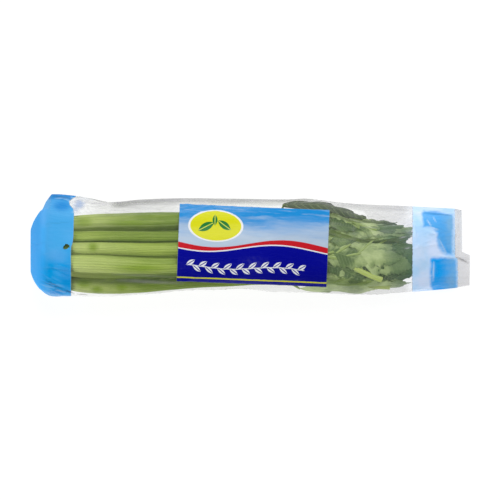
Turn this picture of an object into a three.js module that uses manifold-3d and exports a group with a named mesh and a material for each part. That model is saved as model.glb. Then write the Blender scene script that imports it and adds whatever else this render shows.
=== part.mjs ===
// A head of celery lying on its side in a thin film bag, butt towards -X and leafy tops towards +X.
// Millimetres, +Z up. The origin is the middle of the bag's footprint, on the surface that it lies on.
//
// Everything is laid out in the head's own coordinates: the distance along it from the cut butt, the
// angle round its axis (0 towards +Y, 90 up) and the radius. place() turns those into X, Y and Z, and
// carries the head's gentle bend, its width and the flattening under its own weight.
import * as THREE from "three";
import Module from "manifold-3d";

const wasm = await Module();
wasm.setup();

// ---- Driving dimensions ----
const BAG_LENGTH = 463;
const BAG_END = -16.5; // the bag's sealed end, past the cut butt
const BAG_MOUTH = BAG_END + BAG_LENGTH;
const BUTT_X = -BAG_LENGTH / 2 - BAG_END;

const OUTER = {
  radius: 38.4, // of the ring through the middle of its stalks
  thickness: 8.8,
  hollow: 7.0, // how far a stalk's edges lie nearer the axis than its middle
  ribHeight: 0.7,
  backPoints: 9,
  facePoints: 5,
  from: 1.5,
  leafyTo: 244,
  trimmedTo: 232,
  stemRadius: 3.4,
};
const INNER = {
  radius: 23.4,
  thickness: 7.4,
  hollow: 4.6,
  ribHeight: 0.45,
  backPoints: 7,
  facePoints: 4,
  from: 25,
  leafyTo: 262,
  stemRadius: 2.7,
};
const HEART = {
  radius: 7.7,
  thickness: 9.4,
  hollow: 0,
  ribHeight: 0,
  backPoints: 5,
  facePoints: 5,
  from: 27,
  leafyTo: 272,
  stemRadius: 2.3,
};
const STALK_EDGE = 1.3; // thickness of a stalk at its two long edges
const BARE_STEM_RADIUS = 1.7; // side stems that were cut off short of their leaflets
const STEM_GAP = 0.4; // between a stalk and what grows on at its end

// A leaflet's half outline from its base to its tip: [share of its length, half width as a share of it].
// Three lobes with coarse teeth, which are fewer on the small leaflets inside the head.
const LEAFLET_EDGE = [
  [0, 0.04], [0.27, 0.31], [0.37, 0.44], [0.45, 0.3], [0.57, 0.37], [0.7, 0.2],
];
const SMALL_LEAFLET_EDGE = [[0, 0.04], [0.37, 0.44], [0.45, 0.3], [0.57, 0.36], [0.76, 0.18]];
const LEAFLET_MIDRIB = [0.34, 0.66];

// How a spray grows: at is the share of the way along its own stem where a pair of side stems comes
// off, and layer is where their leaflets lie in the depth of their shell, from -1 inside to 1 outside.
const OUTER_PLAN = {
  edge: LEAFLET_EDGE,
  run: 86,
  stray: 3,
  sideStem: 0.5,
  pairs: [
    { at: 0.06, stem: 18, leaflet: 50, spread: 34, layer: -0.65 },
    { at: 0.55, stem: 14, leaflet: 44, spread: 38, layer: -0.1 },
    { at: 0.93, stem: 8, leaflet: 46, spread: 28, layer: 0.3 },
  ],
  tip: { leaflet: 54, layer: 0.65 },
};
const UNDER_PLAN = {
  ...OUTER_PLAN,
  pairs: [
    { at: 0.14, stem: 18, leaflet: 54, spread: 34, layer: -0.65 },
    { at: 0.76, stem: 14, leaflet: 50, spread: 32, layer: 0.05 },
  ],
};
const INNER_PLAN = {
  edge: SMALL_LEAFLET_EDGE,
  run: 82,
  stray: 2,
  sideStem: 0.55,
  pairs: [
    { at: 0.1, stem: 16, leaflet: 36, spread: 26, layer: -0.6 },
    { at: 0.72, stem: 11, leaflet: 30, spread: 32, layer: 0.05 },
  ],
  tip: { leaflet: 40, layer: 0.65 },
};
const HEART_PLAN = {
  edge: SMALL_LEAFLET_EDGE,
  run: 56,
  stray: 0.5,
  sideStem: 0.6,
  pairs: [{ at: 0.35, stem: 9, leaflet: 22, spread: 15, layer: -0.4 }],
  tip: { leaflet: 28, layer: 0.5 },
};

// Angle is where a stalk stands round the head and spread is half the angle that it covers. A stalk
// with a spray angle keeps its leafy top, whose shell is centred there; the others are trimmed short.
// Sunk is how far the bottom stalk is pressed in towards the axis by the weight on it. A pressed
// leaflet lies flat against the film at its own angle, on a side stem from one distance to another.
const OUTER_STALKS = [
  { angle: 13, spread: 24, spray: 33, pressed: { from: 250, to: 260, angle: 21, leaflet: 78 } },
  { angle: 55, spread: 9.5 },
  { angle: 83, spread: 11 },
  { angle: 110.5, spread: 15, spray: 104 },
  {
    angle: 168,
    spread: 21,
    spray: 172,
    pressed: { from: 254, to: 266, angle: 183, leaflet: 80 },
    bareStems: [
      { at: 0.3, side: 1, spread: 12, reach: 66, layer: 0.8 },
      { at: 0.75, side: 1, spread: 34, reach: 34, layer: 0.9 },
      { at: 0.8, side: -1, spread: 10, reach: 36, layer: 0.9 },
    ],
  },
  { angle: 216, spread: 25, spray: 244, plan: UNDER_PLAN },
  { angle: 269, spread: 25, sunk: 1.5 },
  { angle: 322, spread: 25, spray: 318, plan: UNDER_PLAN },
];
const INNER_STALKS = [55, 127, 199, 271, 343].map((angle) => ({ angle, spread: 29, spray: angle }));
const HEART_STALKS = [90, 210, 330].map((angle) => ({ angle, spread: 40, spray: angle }));

// The leafy tops lie in bent shells round the head, one over the next like the blades of an iris:
// a shell's radius grows by climb for each radian round it, and its leaves stay within reach of its
// middle and within depth of its surface, so that no two sprays touch.
const OUTER_SHELL = { radius: 40.5, climb: 6.6, reach: 29, depth: 2.8 };
const INNER_SHELL = { radius: 20.6, climb: 6, reach: 19, depth: 2.4 };
const HEART_SHELL = { radius: 7.7, climb: 1.2, reach: 5.6, depth: 1.5 };
const PRESSED_SHELL = { radius: 46.6, climb: 0, reach: 15, depth: 1 };

const BLADE = 0.75; // thickness of a leaf
const RUFFLE = 0.3; // how far a leaf's edge waves
const CURL = 0.8; // how far a leaf's tip lies out of line at most
const FOLD = 0.05; // how much a leaf's halves rise or fall from its midrib, as a slope
const LEAF_SEAT = 2; // how far a leaf starts back along its stem
const STEM_SIDES = 5;

const FILM = 0.6;
const FIN_INSET = 2.2; // the hollow ends short of a fin's sharp edge by this many thicknesses
const FILM_SINK = 1.2; // how far the round bag settles to make its flat underside
const FILM_STEPS = 12; // from one side fin to the other, over the top or underneath
const FLAT_MIDDLE = -5; // the film rests on a long flat with straight edges, centred on this Y
const FLAT_HALF = 17;
const BESIDE_FLAT = 1.5; // past those edges the film stands at least this far off the surface
const MOUTH_STEP = 8.4; // the upper lip is cut back this far on the +Y side
const MOUTH_STEP_Y = -11; // where that step starts
const MOUTH_STEP_WIDTH = 5;

// ---- Curves along the head: [distance from the butt, value] ----

// A smooth curve through the knots, level at both ends.
function through(knots) {
  const last = knots.length - 1;
  const slopes = knots.map((knot, i) => {
    if (i === 0 || i === last) return 0;
    return (knots[i + 1][1] - knots[i - 1][1]) / (knots[i + 1][0] - knots[i - 1][0]);
  });
  return (at) => {
    if (at <= knots[0][0]) return knots[0][1];
    if (at >= knots[last][0]) return knots[last][1];
    const i = knots.findIndex((knot, k) => k < last && at < knots[k + 1][0]);
    const span = knots[i + 1][0] - knots[i][0];
    const t = (at - knots[i][0]) / span;
    const rise = knots[i + 1][1] - knots[i][1];
    const ease = t * t * (3 - 2 * t);
    const pull = span * t * (1 - t) * (slopes[i] * (1 - t) - slopes[i + 1] * t);
    return knots[i][1] + rise * ease + pull;
  };
}

const axisSide = through([
  [-17, -5.5], [-8, -5.2], [0, -4.6], [28, -8], [67, -8.2], [99, -6.8], [138, -4.9], [193, -3.4], [246, -1.1],
  [272, -0.4], [298, -2.4], [330, -8.2], [356, -9.6], [384, -8.6], [403, -6.5], [430, -3.4], [447, -2.1],
]);
const widthScale = through([
  [-17, 0.46], [-15.8, 0.54], [-12.6, 0.68], [-8.4, 0.81], [-4, 0.91], [6, 1], [30, 0.985], [99, 0.985],
  [138, 0.955], [165, 0.925], [193, 0.92], [235, 0.925], [272, 0.95], [298, 0.935], [330, 0.845], [356, 0.8],
  [384, 0.765], [403, 0.75], [447, 0.72],
]);
const heightScale = through([
  [-17, 0.05], [-13, 0.26], [-7, 0.56], [0, 0.74], [15, 0.85], [50, 0.88], [140, 0.86], [200, 0.82],
  [246, 0.74], [272, 0.69], [330, 0.61], [370, 0.56], [390, 0.48], [410, 0.33], [430, 0.2], [447, 0.14],
]);
const filmRadius = through([[-17, 45.8], [200, 45.8], [240, 50.4], [384, 50.4], [447, 50.4]]);
const sealLift = through([[-17, 15], [-9, 10], [4, 0], [447, 0]]);

// The butt is narrower than the head, and its stalks swell out from it.
const growth = through([[0, 0.66], [10, 0.78], [26, 0.92], [52, 0.99], [80, 1]]);
const stalkTaper = through([[0, 1], [40, 1], [130, 0.94], [190, 0.8], [225, 0.6], [272, 0.42]]);

// The bag's side fins, where its top and bottom film come together: Y of each, and their height.
const farFin = through([
  [-17, 15], [-12.6, 26.8], [-8.4, 32], [-4.2, 36.2], [-2.1, 41.5], [0, 45.7], [4.2, 51.4], [6.6, 53.9],
  [28, 52.6], [46, 49.8], [67, 46], [99, 48.4], [138, 49.8], [193, 49.4], [256, 48.6], [272, 49.4],
  [298, 46.4], [330, 43.6], [384, 41.4], [430, 39], [447, 37.6],
]);
const nearFin = through([
  [-17, -26.5], [-12.6, -36.6], [-8.4, -43], [-4.2, -47.6], [0, -50.8], [5, -53], [12, -53.6],
  [22, -52.8], [69, -52], [99, -50.2], [138, -47.2], [165, -45], [193, -45.4], [240, -46.2], [258, -46.8],
  [283, -49.4], [360, -50], [384, -49], [410, -47], [430, -45], [447, -42.5],
]);
const finHeight = through([
  [-17, 17], [6, 26], [28, 24], [67, 14], [193, 16], [298, 18], [384, 12], [447, 6],
]);

// The root plate's own radius, from the cut face to its end among the stalks.
const rootRadius = through([[0, 18.8], [2, 19.8], [12, 22.3], [20, 20.5], [23.5, 14]]);

function axisHeight(along) {
  return filmRadius(along) * heightScale(along) - FILM_SINK + sealLift(along);
}

function place(along, degrees, radius) {
  const angle = THREE.MathUtils.degToRad(degrees);
  return new THREE.Vector3(
    BUTT_X + along,
    axisSide(along) + radius * widthScale(along) * Math.cos(angle),
    axisHeight(along) + radius * heightScale(along) * Math.sin(angle),
  );
}

// ---- Solids ----

// A solid from corner points and triangles, turned to face out.
function solid(corners, triangles) {
  const volume = triangles.reduce((sum, [a, b, c]) => {
    const normal = new THREE.Vector3().crossVectors(corners[b], corners[c]);
    return sum + corners[a].dot(normal);
  }, 0);
  const facingOut = volume > 0 ? triangles : triangles.map(([a, b, c]) => [a, c, b]);
  return new wasm.Manifold(
    new wasm.Mesh({
      numProp: 3,
      vertProperties: new Float32Array(corners.flatMap((corner) => corner.toArray())),
      triVerts: new Uint32Array(facingOut.flat()),
    }),
  );
}

// A closed solid through rings of points, all with the same number of points, with flat caps.
function loft(rings) {
  const sides = rings[0].length;
  const triangles = [];
  for (let r = 0; r + 1 < rings.length; r++) {
    for (let i = 0; i < sides; i++) {
      const a = r * sides + i;
      const b = r * sides + ((i + 1) % sides);
      triangles.push([a, b, b + sides], [a, b + sides, a + sides]);
    }
  }
  const addCap = (ring, offset, reversed) => {
    const outline = ring.map((point) => new THREE.Vector2(point.y, point.z));
    const faces = THREE.ShapeUtils.triangulateShape(outline, []);
    const follows = faces.some((face) => face.some((i, k) => (i + 1) % sides === face[(k + 1) % 3]));
    faces.forEach(([a, b, c]) => {
      const kept = follows !== reversed;
      triangles.push(kept ? [offset + a, offset + b, offset + c] : [offset + a, offset + c, offset + b]);
    });
  };
  addCap(rings[0], 0, true);
  addCap(rings[rings.length - 1], (rings.length - 1) * sides, false);
  return solid(rings.flat(), triangles);
}

// The solids fused into one body, with any hollow sealed inside it filled.
function joined(solids) {
  const whole = solids.reduce((sum, piece) => sum.add(piece));
  return whole.decompose().reduce((body, piece) => (piece.volume() > body.volume() ? piece : body));
}

function meshOf(name, shape, material) {
  const made = shape.getMesh();
  const geometry = new THREE.BufferGeometry();
  geometry.setAttribute("position", new THREE.BufferAttribute(new Float32Array(made.vertProperties), 3));
  geometry.setIndex(new THREE.BufferAttribute(new Uint32Array(made.triVerts), 1));
  geometry.computeVertexNormals();
  const mesh = new THREE.Mesh(geometry, material);
  mesh.name = name;
  return mesh;
}

// A repeatable draw between 0 and 1.
function drawsFrom(seed) {
  let state = seed;
  return () => {
    state = (Math.imul(state, 1664525) + 1013904223) >>> 0;
    return state / 4294967296;
  };
}

// ---- Stalks ----

// One cross-section: the ribbed back on the outside, then the hollow face on the inside.
function stalkSection(kind, stalk, along) {
  const taper = stalkTaper(along);
  const spread = stalk.spread * taper;
  const hollow = kind.hollow * Math.min(1, stalk.spread / 20) * taper;
  const thickness = kind.thickness * (0.55 + 0.45 * taper);
  const sunk = (stalk.sunk || 0) * THREE.MathUtils.smoothstep(along, 0, 40);
  const at = (u, side, rib) => {
    const middle = kind.radius - sunk - hollow * u * u;
    const half = STALK_EDGE / 2 + (thickness - STALK_EDGE) / 2 * Math.sqrt(1 - u * u);
    return place(along, stalk.angle + u * spread, (middle + side * half + rib) * growth(along));
  };
  const points = [];
  for (let i = 0; i < kind.backPoints; i++) {
    const u = (2 * i) / (kind.backPoints - 1) - 1;
    points.push(at(Math.sin(u * Math.PI / 2), 1, i % 2 ? kind.ribHeight : 0));
  }
  for (let i = 0; i < kind.facePoints; i++) {
    const u = 1 - (2 * i) / (kind.facePoints - 1);
    points.push(at(u, -1, 0));
  }
  return points;
}

function stalkSolid(kind, stalk) {
  const end = stalk.spray === undefined ? kind.trimmedTo : kind.leafyTo;
  const stations = [0, 0.04, 0.11, 0.27, 0.48, 0.7, 0.87, 1];
  return loft(stations.map((share) => stalkSection(kind, stalk, kind.from + share * (end - kind.from))));
}

// The short root plate, cut flat at the butt, that all the stalks grow from.
function rootPlateSolid() {
  const sides = 20;
  return loft(
    [0, 2, 7, 12, 17, 21, 23.5].map((along) =>
      Array.from({ length: sides }, (none, i) => place(along, (i / sides) * 360, rootRadius(along))),
    ),
  );
}

// ---- Leafy sprays ----

// A point of a spray: distance along the head, distance sideways round the shell, and depth out of it.
function onShell(shell, centre, along, sideways, out) {
  const held = shell.reach * Math.tanh(sideways / shell.reach);
  const turn = held / shell.radius;
  const depth = THREE.MathUtils.clamp(out, -shell.depth, shell.depth);
  return place(along, centre + THREE.MathUtils.radToDeg(turn), shell.radius + shell.climb * turn + depth);
}

// A round stem that narrows from one end to the other. Ends are [along, sideways, out].
function stemSolid(shell, centre, start, end, startRadius, endRadius) {
  const heading = Math.atan2(end[1] - start[1], end[0] - start[0]);
  const rings = [0, 1].map((t) => {
    const radius = THREE.MathUtils.lerp(startRadius, endRadius, t);
    const along = THREE.MathUtils.lerp(start[0], end[0], t);
    const sideways = THREE.MathUtils.lerp(start[1], end[1], t);
    const out = THREE.MathUtils.lerp(start[2], end[2], t);
    return Array.from({ length: STEM_SIDES }, (none, i) => {
      const angle = (i / STEM_SIDES) * 2 * Math.PI;
      const across = radius * Math.cos(angle);
      const turn = (sideways + across * Math.cos(heading)) / shell.radius;
      return place(
        along - across * Math.sin(heading),
        centre + THREE.MathUtils.radToDeg(turn),
        shell.radius + shell.climb * turn + out + radius * Math.sin(angle),
      );
    });
  });
  return loft(rings);
}

// One toothed leaflet: a thin blade folded along its midrib, curled and waved within its shell. Its
// corners run from the base up one edge to the tip and down the other, and then along the midrib.
function leafletSolid(shell, centre, base, heading, length, fold, curl, edge) {
  const half = edge.length;
  const flat = [
    ...edge,
    [1, 0],
    ...edge.map(([t, q]) => [t, -q]).reverse(),
    ...LEAFLET_MIDRIB.map((t) => [t, 0]),
  ];
  const rim = 2 * half + 1;
  const midrib = LEAFLET_MIDRIB.map((t, i) => rim + i);
  const leftLoop = [...Array(half + 1).keys(), ...[...midrib].reverse()];
  const rightLoop = [...Array(half + 1).keys()].map((i) => half + i).concat(midrib);
  const triangles = [leftLoop, rightLoop].flatMap((loop) => {
    const outline = loop.map((i) => new THREE.Vector2(...flat[i]));
    return THREE.ShapeUtils.triangulateShape(outline, []).map((face) => face.map((i) => loop[i]));
  });
  triangles.push([0, rightLoop[half], midrib[0]]);
  const middle = flat.map(([t, q], i) => {
    const ruffle = i < rim ? RUFFLE * Math.sin(2.4 * i) * Math.min(1, 3 * t) : 0;
    const out = base[2] + fold * Math.abs(q) * length + curl * (t * t - 0.2) + ruffle;
    const along = base[0] + length * (t * Math.cos(heading) - q * Math.sin(heading));
    const sideways = base[1] + length * (t * Math.sin(heading) + q * Math.cos(heading));
    return onShell(shell, centre, along, sideways, out);
  });
  return bladeSolid(middle, triangles);
}

// Thickens a triangulated sheet by BLADE, with the same triangles on both faces and a rim between.
function bladeSolid(middle, triangles) {
  const count = middle.length;
  const normals = middle.map(() => new THREE.Vector3());
  triangles.forEach(([a, b, c]) => {
    const ab = new THREE.Vector3().subVectors(middle[b], middle[a]);
    const ac = new THREE.Vector3().subVectors(middle[c], middle[a]);
    const normal = ab.cross(ac);
    [a, b, c].forEach((i) => normals[i].add(normal));
  });
  normals.forEach((normal) => normal.normalize());
  const upper = middle.map((point, i) => point.clone().addScaledVector(normals[i], BLADE / 2));
  const lower = middle.map((point, i) => point.clone().addScaledVector(normals[i], -BLADE / 2));
  const edges = new Map();
  triangles.forEach(([a, b, c]) => {
    [[a, b], [b, c], [c, a]].forEach(([from, to]) => {
      if (!edges.delete(to + " " + from)) edges.set(from + " " + to, [from, to]);
    });
  });
  const rim = [...edges.values()].flatMap(([from, to]) => [
    [to, from, from + count],
    [to, from + count, to + count],
  ]);
  const underside = triangles.map(([a, b, c]) => [a + count, c + count, b + count]);
  return solid([...upper, ...lower], [...triangles, ...underside, ...rim]);
}

// A whole spray: the stalk's own stem runs on, gives off side stems in pairs, and ends in a leaflet.
function spraySolid(kind, shell, stalk, plan, seed) {
  const draw = drawsFrom(seed);
  const vary = (low, high) => THREE.MathUtils.lerp(low, high, draw());
  const centre = stalk.spray;
  const startSide = THREE.MathUtils.degToRad(stalk.angle - centre) * shell.radius;
  const end = [kind.leafyTo + plan.run, vary(-1, 1) * plan.stray, plan.tip.layer * shell.depth * 0.5];
  const lean = Math.abs(end[1] - startSide) / plan.run;
  const start = [kind.leafyTo + STEM_GAP + kind.stemRadius * lean, startSide, 0];
  const solids = [stemSolid(shell, centre, start, end, kind.stemRadius, kind.stemRadius * 0.4)];
  const addLeaflet = (at, heading, length, layer) => {
    const base = [
      at[0] - LEAF_SEAT * Math.cos(heading),
      at[1] - LEAF_SEAT * Math.sin(heading),
      layer * shell.depth,
    ];
    const fold = vary(-FOLD, FOLD);
    solids.push(leafletSolid(shell, centre, base, heading, length, fold, vary(-CURL, CURL), plan.edge));
  };
  const branchFrom = (at, side, spread, reach, layer, radius) => {
    const from = [0, 1, 2].map((k) => THREE.MathUtils.lerp(start[k], end[k], at));
    const heading = side * THREE.MathUtils.degToRad(spread);
    const to = [
      from[0] + reach * Math.cos(heading),
      from[1] + reach * Math.sin(heading),
      layer * shell.depth,
    ];
    solids.push(stemSolid(shell, centre, from, to, radius, radius * 0.6));
    return { to, heading };
  };
  plan.pairs.forEach(({ at, stem, leaflet, spread, layer }) => {
    [-1, 1].forEach((side) => {
      const radius = kind.stemRadius * plan.sideStem;
      const stemEnd = branchFrom(at, side, spread * vary(0.85, 1.15), stem * vary(0.9, 1.1), layer, radius);
      addLeaflet(stemEnd.to, stemEnd.heading + side * vary(-0.2, 0.15), leaflet * vary(0.92, 1.08), layer);
    });
  });
  (stalk.bareStems || []).forEach(({ at, side, spread, reach, layer }) => {
    branchFrom(at, side, spread, reach, layer, BARE_STEM_RADIUS);
  });
  if (stalk.pressed) {
    const { from, to, angle, leaflet } = stalk.pressed;
    const turn = THREE.MathUtils.degToRad(angle - centre);
    const out = PRESSED_SHELL.radius - shell.radius - shell.climb * turn;
    const root = [from, THREE.MathUtils.mapLinear(from, start[0], end[0], start[1], end[1]), 0];
    solids.push(stemSolid(shell, centre, root, [to, turn * shell.radius, out], BARE_STEM_RADIUS, 1.3));
    solids.push(leafletSolid(PRESSED_SHELL, angle, [to - LEAF_SEAT, 0, 0], 0, leaflet, 0, 0, plan.edge));
  }
  addLeaflet(end, vary(-0.12, 0.12), plan.tip.leaflet * vary(0.95, 1.05), plan.tip.layer);
  return joined(solids);
}

// ---- The film bag ----

// Distances along the head at which the film's sections are drawn.
const FILM_STATIONS = [
  BAG_END, -14, -10.5, -5.5, 0, 8, 28, 46, 67, 99, 138, 185, 215, 246, 272, 298, 315, 332, 358, 386, 404,
  424, 438, BAG_MOUTH,
];

// Lays the lowest points of a section on the surface, from one straight edge of the flat to the other.
function flattenUnderside(points, inset) {
  const nearest = (y) => {
    const away = points.map((point) => Math.abs(point.x - y));
    return away.indexOf(Math.min(...away));
  };
  const first = nearest(FLAT_MIDDLE - FLAT_HALF);
  const last = nearest(FLAT_MIDDLE + FLAT_HALF);
  points[first].x = FLAT_MIDDLE - FLAT_HALF;
  points[last].x = FLAT_MIDDLE + FLAT_HALF;
  points.forEach((point, i) => {
    point.y = i >= first && i <= last ? inset : Math.max(point.y, inset + BESIDE_FLAT);
  });
}

// Points round one section of the film: over the top from the far fin to the near fin, and back
// underneath. The film hugs an oval and runs straight from it to the edge of each fin.
function filmSection(along, inset) {
  const side = axisSide(along);
  const height = axisHeight(along);
  const halfWidth = filmRadius(along) * widthScale(along) - inset;
  const halfHeight = filmRadius(along) * heightScale(along) - inset;
  const finInset = FIN_INSET * inset;
  const fins = [farFin(along) - finInset, nearFin(along) + finInset].map((finY) => {
    const edge = new THREE.Vector2((finY - side) / halfWidth, (finHeight(along) - height) / halfHeight);
    const distance = edge.length();
    return {
      point: new THREE.Vector2(finY, finHeight(along)),
      stands: distance > 1,
      angle: edge.angle(),
      tangent: distance > 1 ? Math.acos(1 / distance) : 0,
    };
  });
  const [far, near] = fins;
  const run = (from, to, start, end) => {
    const path = new THREE.Path();
    const onOval = (angle) => [side + halfWidth * Math.cos(angle), height + halfHeight * Math.sin(angle)];
    if (from.stands) {
      path.moveTo(from.point.x, from.point.y);
      path.lineTo(...onOval(start));
    }
    path.absellipse(side, height, halfWidth, halfHeight, start, end, false, 0);
    if (to.stands) path.lineTo(to.point.x, to.point.y);
    return path.getSpacedPoints(FILM_STEPS).slice(0, FILM_STEPS);
  };
  const farAngle = far.angle > Math.PI ? far.angle - 2 * Math.PI : far.angle;
  const over = run(far, near, farAngle + far.tangent, near.angle - near.tangent);
  const under = run(near, far, near.angle + near.tangent, 2 * Math.PI + farAngle - far.tangent);
  const lip = (y) => {
    if (along < BAG_MOUTH) return 0;
    return MOUTH_STEP * THREE.MathUtils.smoothstep(y, MOUTH_STEP_Y, MOUTH_STEP_Y + MOUTH_STEP_WIDTH);
  };
  if (height - halfHeight < inset) flattenUnderside(under, inset);
  return [...over, ...under].map(({ x, y }) => new THREE.Vector3(BUTT_X + along - lip(x), x, y));
}

function filmBagSolid() {
  const outside = FILM_STATIONS.map((along) => filmSection(along, 0));
  const inside = FILM_STATIONS.map((along, i) => filmSection(i === 0 ? along + 2 * FILM : along, FILM));
  return loft([...outside, ...inside.reverse()]);
}

// ---- The head in its bag ----

const finish = (color, roughness) => new THREE.MeshStandardMaterial({ color, roughness, metalness: 0 });
const stalkGreen = finish(0x9fbb5c, 0.45);
const heartGreen = finish(0xd3dc93, 0.45);
const leafGreen = finish(0x4d7a3a, 0.55);
const paleLeafGreen = finish(0x9dbb55, 0.55);
const rootTan = finish(0xc9c08e, 0.8);
const film = finish(0xdfe8f0, 0.15);
film.transparent = true;
film.opacity = 0.35;

const head = new THREE.Group();
head.add(meshOf("stem_base", rootPlateSolid(), rootTan));

const RINGS = [
  {
    name: "outer", kind: OUTER, shell: OUTER_SHELL, stalks: OUTER_STALKS, plan: OUTER_PLAN, seed: 11,
    stalkMaterial: stalkGreen, leafMaterial: leafGreen,
  },
  {
    name: "inner", kind: INNER, shell: INNER_SHELL, stalks: INNER_STALKS, plan: INNER_PLAN, seed: 31,
    stalkMaterial: stalkGreen, leafMaterial: leafGreen,
  },
  {
    name: "heart", kind: HEART, shell: HEART_SHELL, stalks: HEART_STALKS, plan: HEART_PLAN, seed: 71,
    stalkMaterial: heartGreen, leafMaterial: paleLeafGreen,
  },
];
RINGS.forEach(({ name, kind, shell, stalks, plan, seed, stalkMaterial, leafMaterial }) => {
  stalks.forEach((stalk, i) => {
    head.add(meshOf("stalk_" + name + "_" + (i + 1), stalkSolid(kind, stalk), stalkMaterial));
    if (stalk.spray === undefined) return;
    const spray = spraySolid(kind, shell, stalk, stalk.plan || plan, seed + i);
    head.add(meshOf("leaves_" + name + "_" + (i + 1), spray, leafMaterial));
  });
});
head.add(meshOf("film_bag", filmBagSolid(), film));

export default head;
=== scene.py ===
"""A head of celery lying on its side in its printed film bag, seen from above.

Lengths are in millimetres until a piece is made, and then in metres. Everything is laid out on the head
itself: the distance along it from the cut butt, the angle round its axis (0 towards +Y, 90 up) and the
radius. place() turns those into X, Y and Z.
"""

import math
from functools import partialmethod

import bpy
import numpy as np
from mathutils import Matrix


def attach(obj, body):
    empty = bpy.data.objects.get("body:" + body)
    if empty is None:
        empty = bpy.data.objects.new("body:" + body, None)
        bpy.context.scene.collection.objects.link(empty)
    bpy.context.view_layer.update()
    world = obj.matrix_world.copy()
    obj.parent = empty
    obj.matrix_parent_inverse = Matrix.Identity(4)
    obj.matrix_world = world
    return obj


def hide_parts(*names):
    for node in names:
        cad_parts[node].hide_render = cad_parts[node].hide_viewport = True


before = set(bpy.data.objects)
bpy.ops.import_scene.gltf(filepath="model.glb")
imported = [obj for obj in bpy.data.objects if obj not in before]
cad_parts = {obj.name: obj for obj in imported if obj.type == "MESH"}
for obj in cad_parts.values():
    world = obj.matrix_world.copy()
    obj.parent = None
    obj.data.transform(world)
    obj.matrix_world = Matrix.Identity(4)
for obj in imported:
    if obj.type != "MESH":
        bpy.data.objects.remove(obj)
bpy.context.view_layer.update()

MM = 0.001

# ---- The head's driving sizes ----

BAG_LENGTH = 463
BAG_END = -16.5  # the bag's sealed end, past the cut butt
BAG_MOUTH = BAG_END + BAG_LENGTH
BUTT_X = -BAG_LENGTH / 2 - BAG_END
STALK_EDGE = 1.3  # thickness of a stalk at its two long edges

OUTER = dict(
    name="outer", radius=38.4, thickness=8.8, hollow=7.0, ribs=9, rib_height=0.75, start=1.5, leafy_end=244,
    trimmed_end=232, stem_radius=3.4, back_points=73, rings=64,
)
INNER = dict(
    name="inner", radius=23.4, thickness=7.4, hollow=4.6, ribs=8, rib_height=0.5, start=25, leafy_end=262,
    trimmed_end=250, stem_radius=2.7, back_points=57, rings=52,
)
HEART = dict(
    name="heart", radius=7.7, thickness=9.4, hollow=0.0, ribs=7, rib_height=0.3, start=27, leafy_end=272,
    trimmed_end=260, stem_radius=2.3, back_points=43, rings=46,
)

# Bare side stems: where each leaves its own stem, its cut end in pixels of the frame, its layer and radius.
TOP_STEMS = [(0.74, (382, 276.5), 1.0, 3.6)]
NEAR_STEMS = [(0.9, (391, 286), 1.0, 3.5)]
# Leaflets on their own side stems that close the gaps between sprays: where the side stem leaves its own
# (a share of the way), where the leaflet starts and ends in pixels of the frame, its layer and its shade.
FAR_LEAFLETS = [
    (0.05, (286, 212), (324, 210.5), 1.2, 0.3),
    (0.3, (329, 217.5), (360, 219), 1.25, 1.3), (0.6, (353, 222), (388, 219), 0.5, 0.95),
    (0.35, (328, 229), (358, 230), 0.55, 0.35), (0.85, (375, 232), (406, 226), 1.0, 0.08),
    (0.9, (383, 230), (416, 234), 0.0, 0.1), (0.7, (358, 229), (386, 230), 0.2, 0.35),
]
TOP_LEAFLETS = [
    (0.4, (329, 238), (361, 237), 0.5, 0.12), (0.6, (349, 244), (386, 239), 1.5, 0.85),
    (0.45, (332, 251), (370, 261), 1.7, 0.6), (0.7, (359, 253), (401, 256), 1.2, 0.8),
    (0.3, (326, 258), (351, 261), 0.7, 0.75), (0.9, (391, 243), (428, 243), 0.0, 0.1),
    (0.9, (393, 254), (430, 252), -0.1, 0.15), (0.9, (392, 266), (430, 265), -0.2, 0.08),
    (0.9, (378, 234), (389, 250), 1.1, 1.0),
    (0.8, (352, 265), (384, 267), 0.1, 0.3), (0.9, (385, 237.5), (418, 240.5), -0.2, 0.12),
]
NEAR_LEAFLETS = [
    (0.3, (322, 281), (362, 285), 0.6, 0.8), (0.4, (328, 271), (360, 273), 0.2, 0.3),
    (0.9, (389, 276), (426, 272), -0.1, 0.12), (0.85, (377, 279), (408, 280.5), 0.3, 0.15),
    (0.6, (346, 279), (378, 284), 0.5, 0.6),
]

# Angle is where a stalk stands round the head and spread is half the angle that it covers. A stalk with
# a spray angle keeps its leafy top, whose shell is centred there; the others are trimmed short. Tint
# makes one stalk a little deeper green (above 0) or paler (below 0) than the next, and sets how much
# painted shade darkens its long edges; the highest tint, on the stalk at 55 degrees, is partly painted
# shade, as that stalk lies deeper. Sunk is how far the bottom stalk is pressed in towards the axis. A
# pressed leaflet lies flat against the film at its own angle, on a side stem from one distance to
# another. Shades run from 0, deep green, to 1 and over, pale: partly the leaves' own tones and partly
# painted shade and light, dark where leaves lie in shade and pale where they catch the light. The
# sprays underneath have fewer pairs.
OUTER_STALKS = [
    dict(angle=13, spread=24, spray=33, tint=1.1, loose=FAR_LEAFLETS,
         pressed=dict(start=246, end=250, angle=21, leaflet=88, shade=0.0)),
    dict(angle=55, spread=9.5, tint=1.3),
    dict(angle=83, spread=11, tint=-0.1),
    dict(angle=110.5, spread=15, spray=104, tint=0.15, bare_stems=TOP_STEMS, loose=TOP_LEAFLETS,
         tip_shade=0.8),
    dict(angle=168, spread=21, spray=172, tint=1.05, bare_stems=NEAR_STEMS, loose=NEAR_LEAFLETS,
         pressed=dict(start=254, end=266, angle=162, leaflet=84, shade=0.85)),
    dict(angle=216, spread=25, spray=244, tint=0.0, under=True),
    dict(angle=269, spread=25, tint=-0.2, sunk=1.5),
    dict(angle=322, spread=25, spray=318, tint=0.2, under=True),
]
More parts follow.
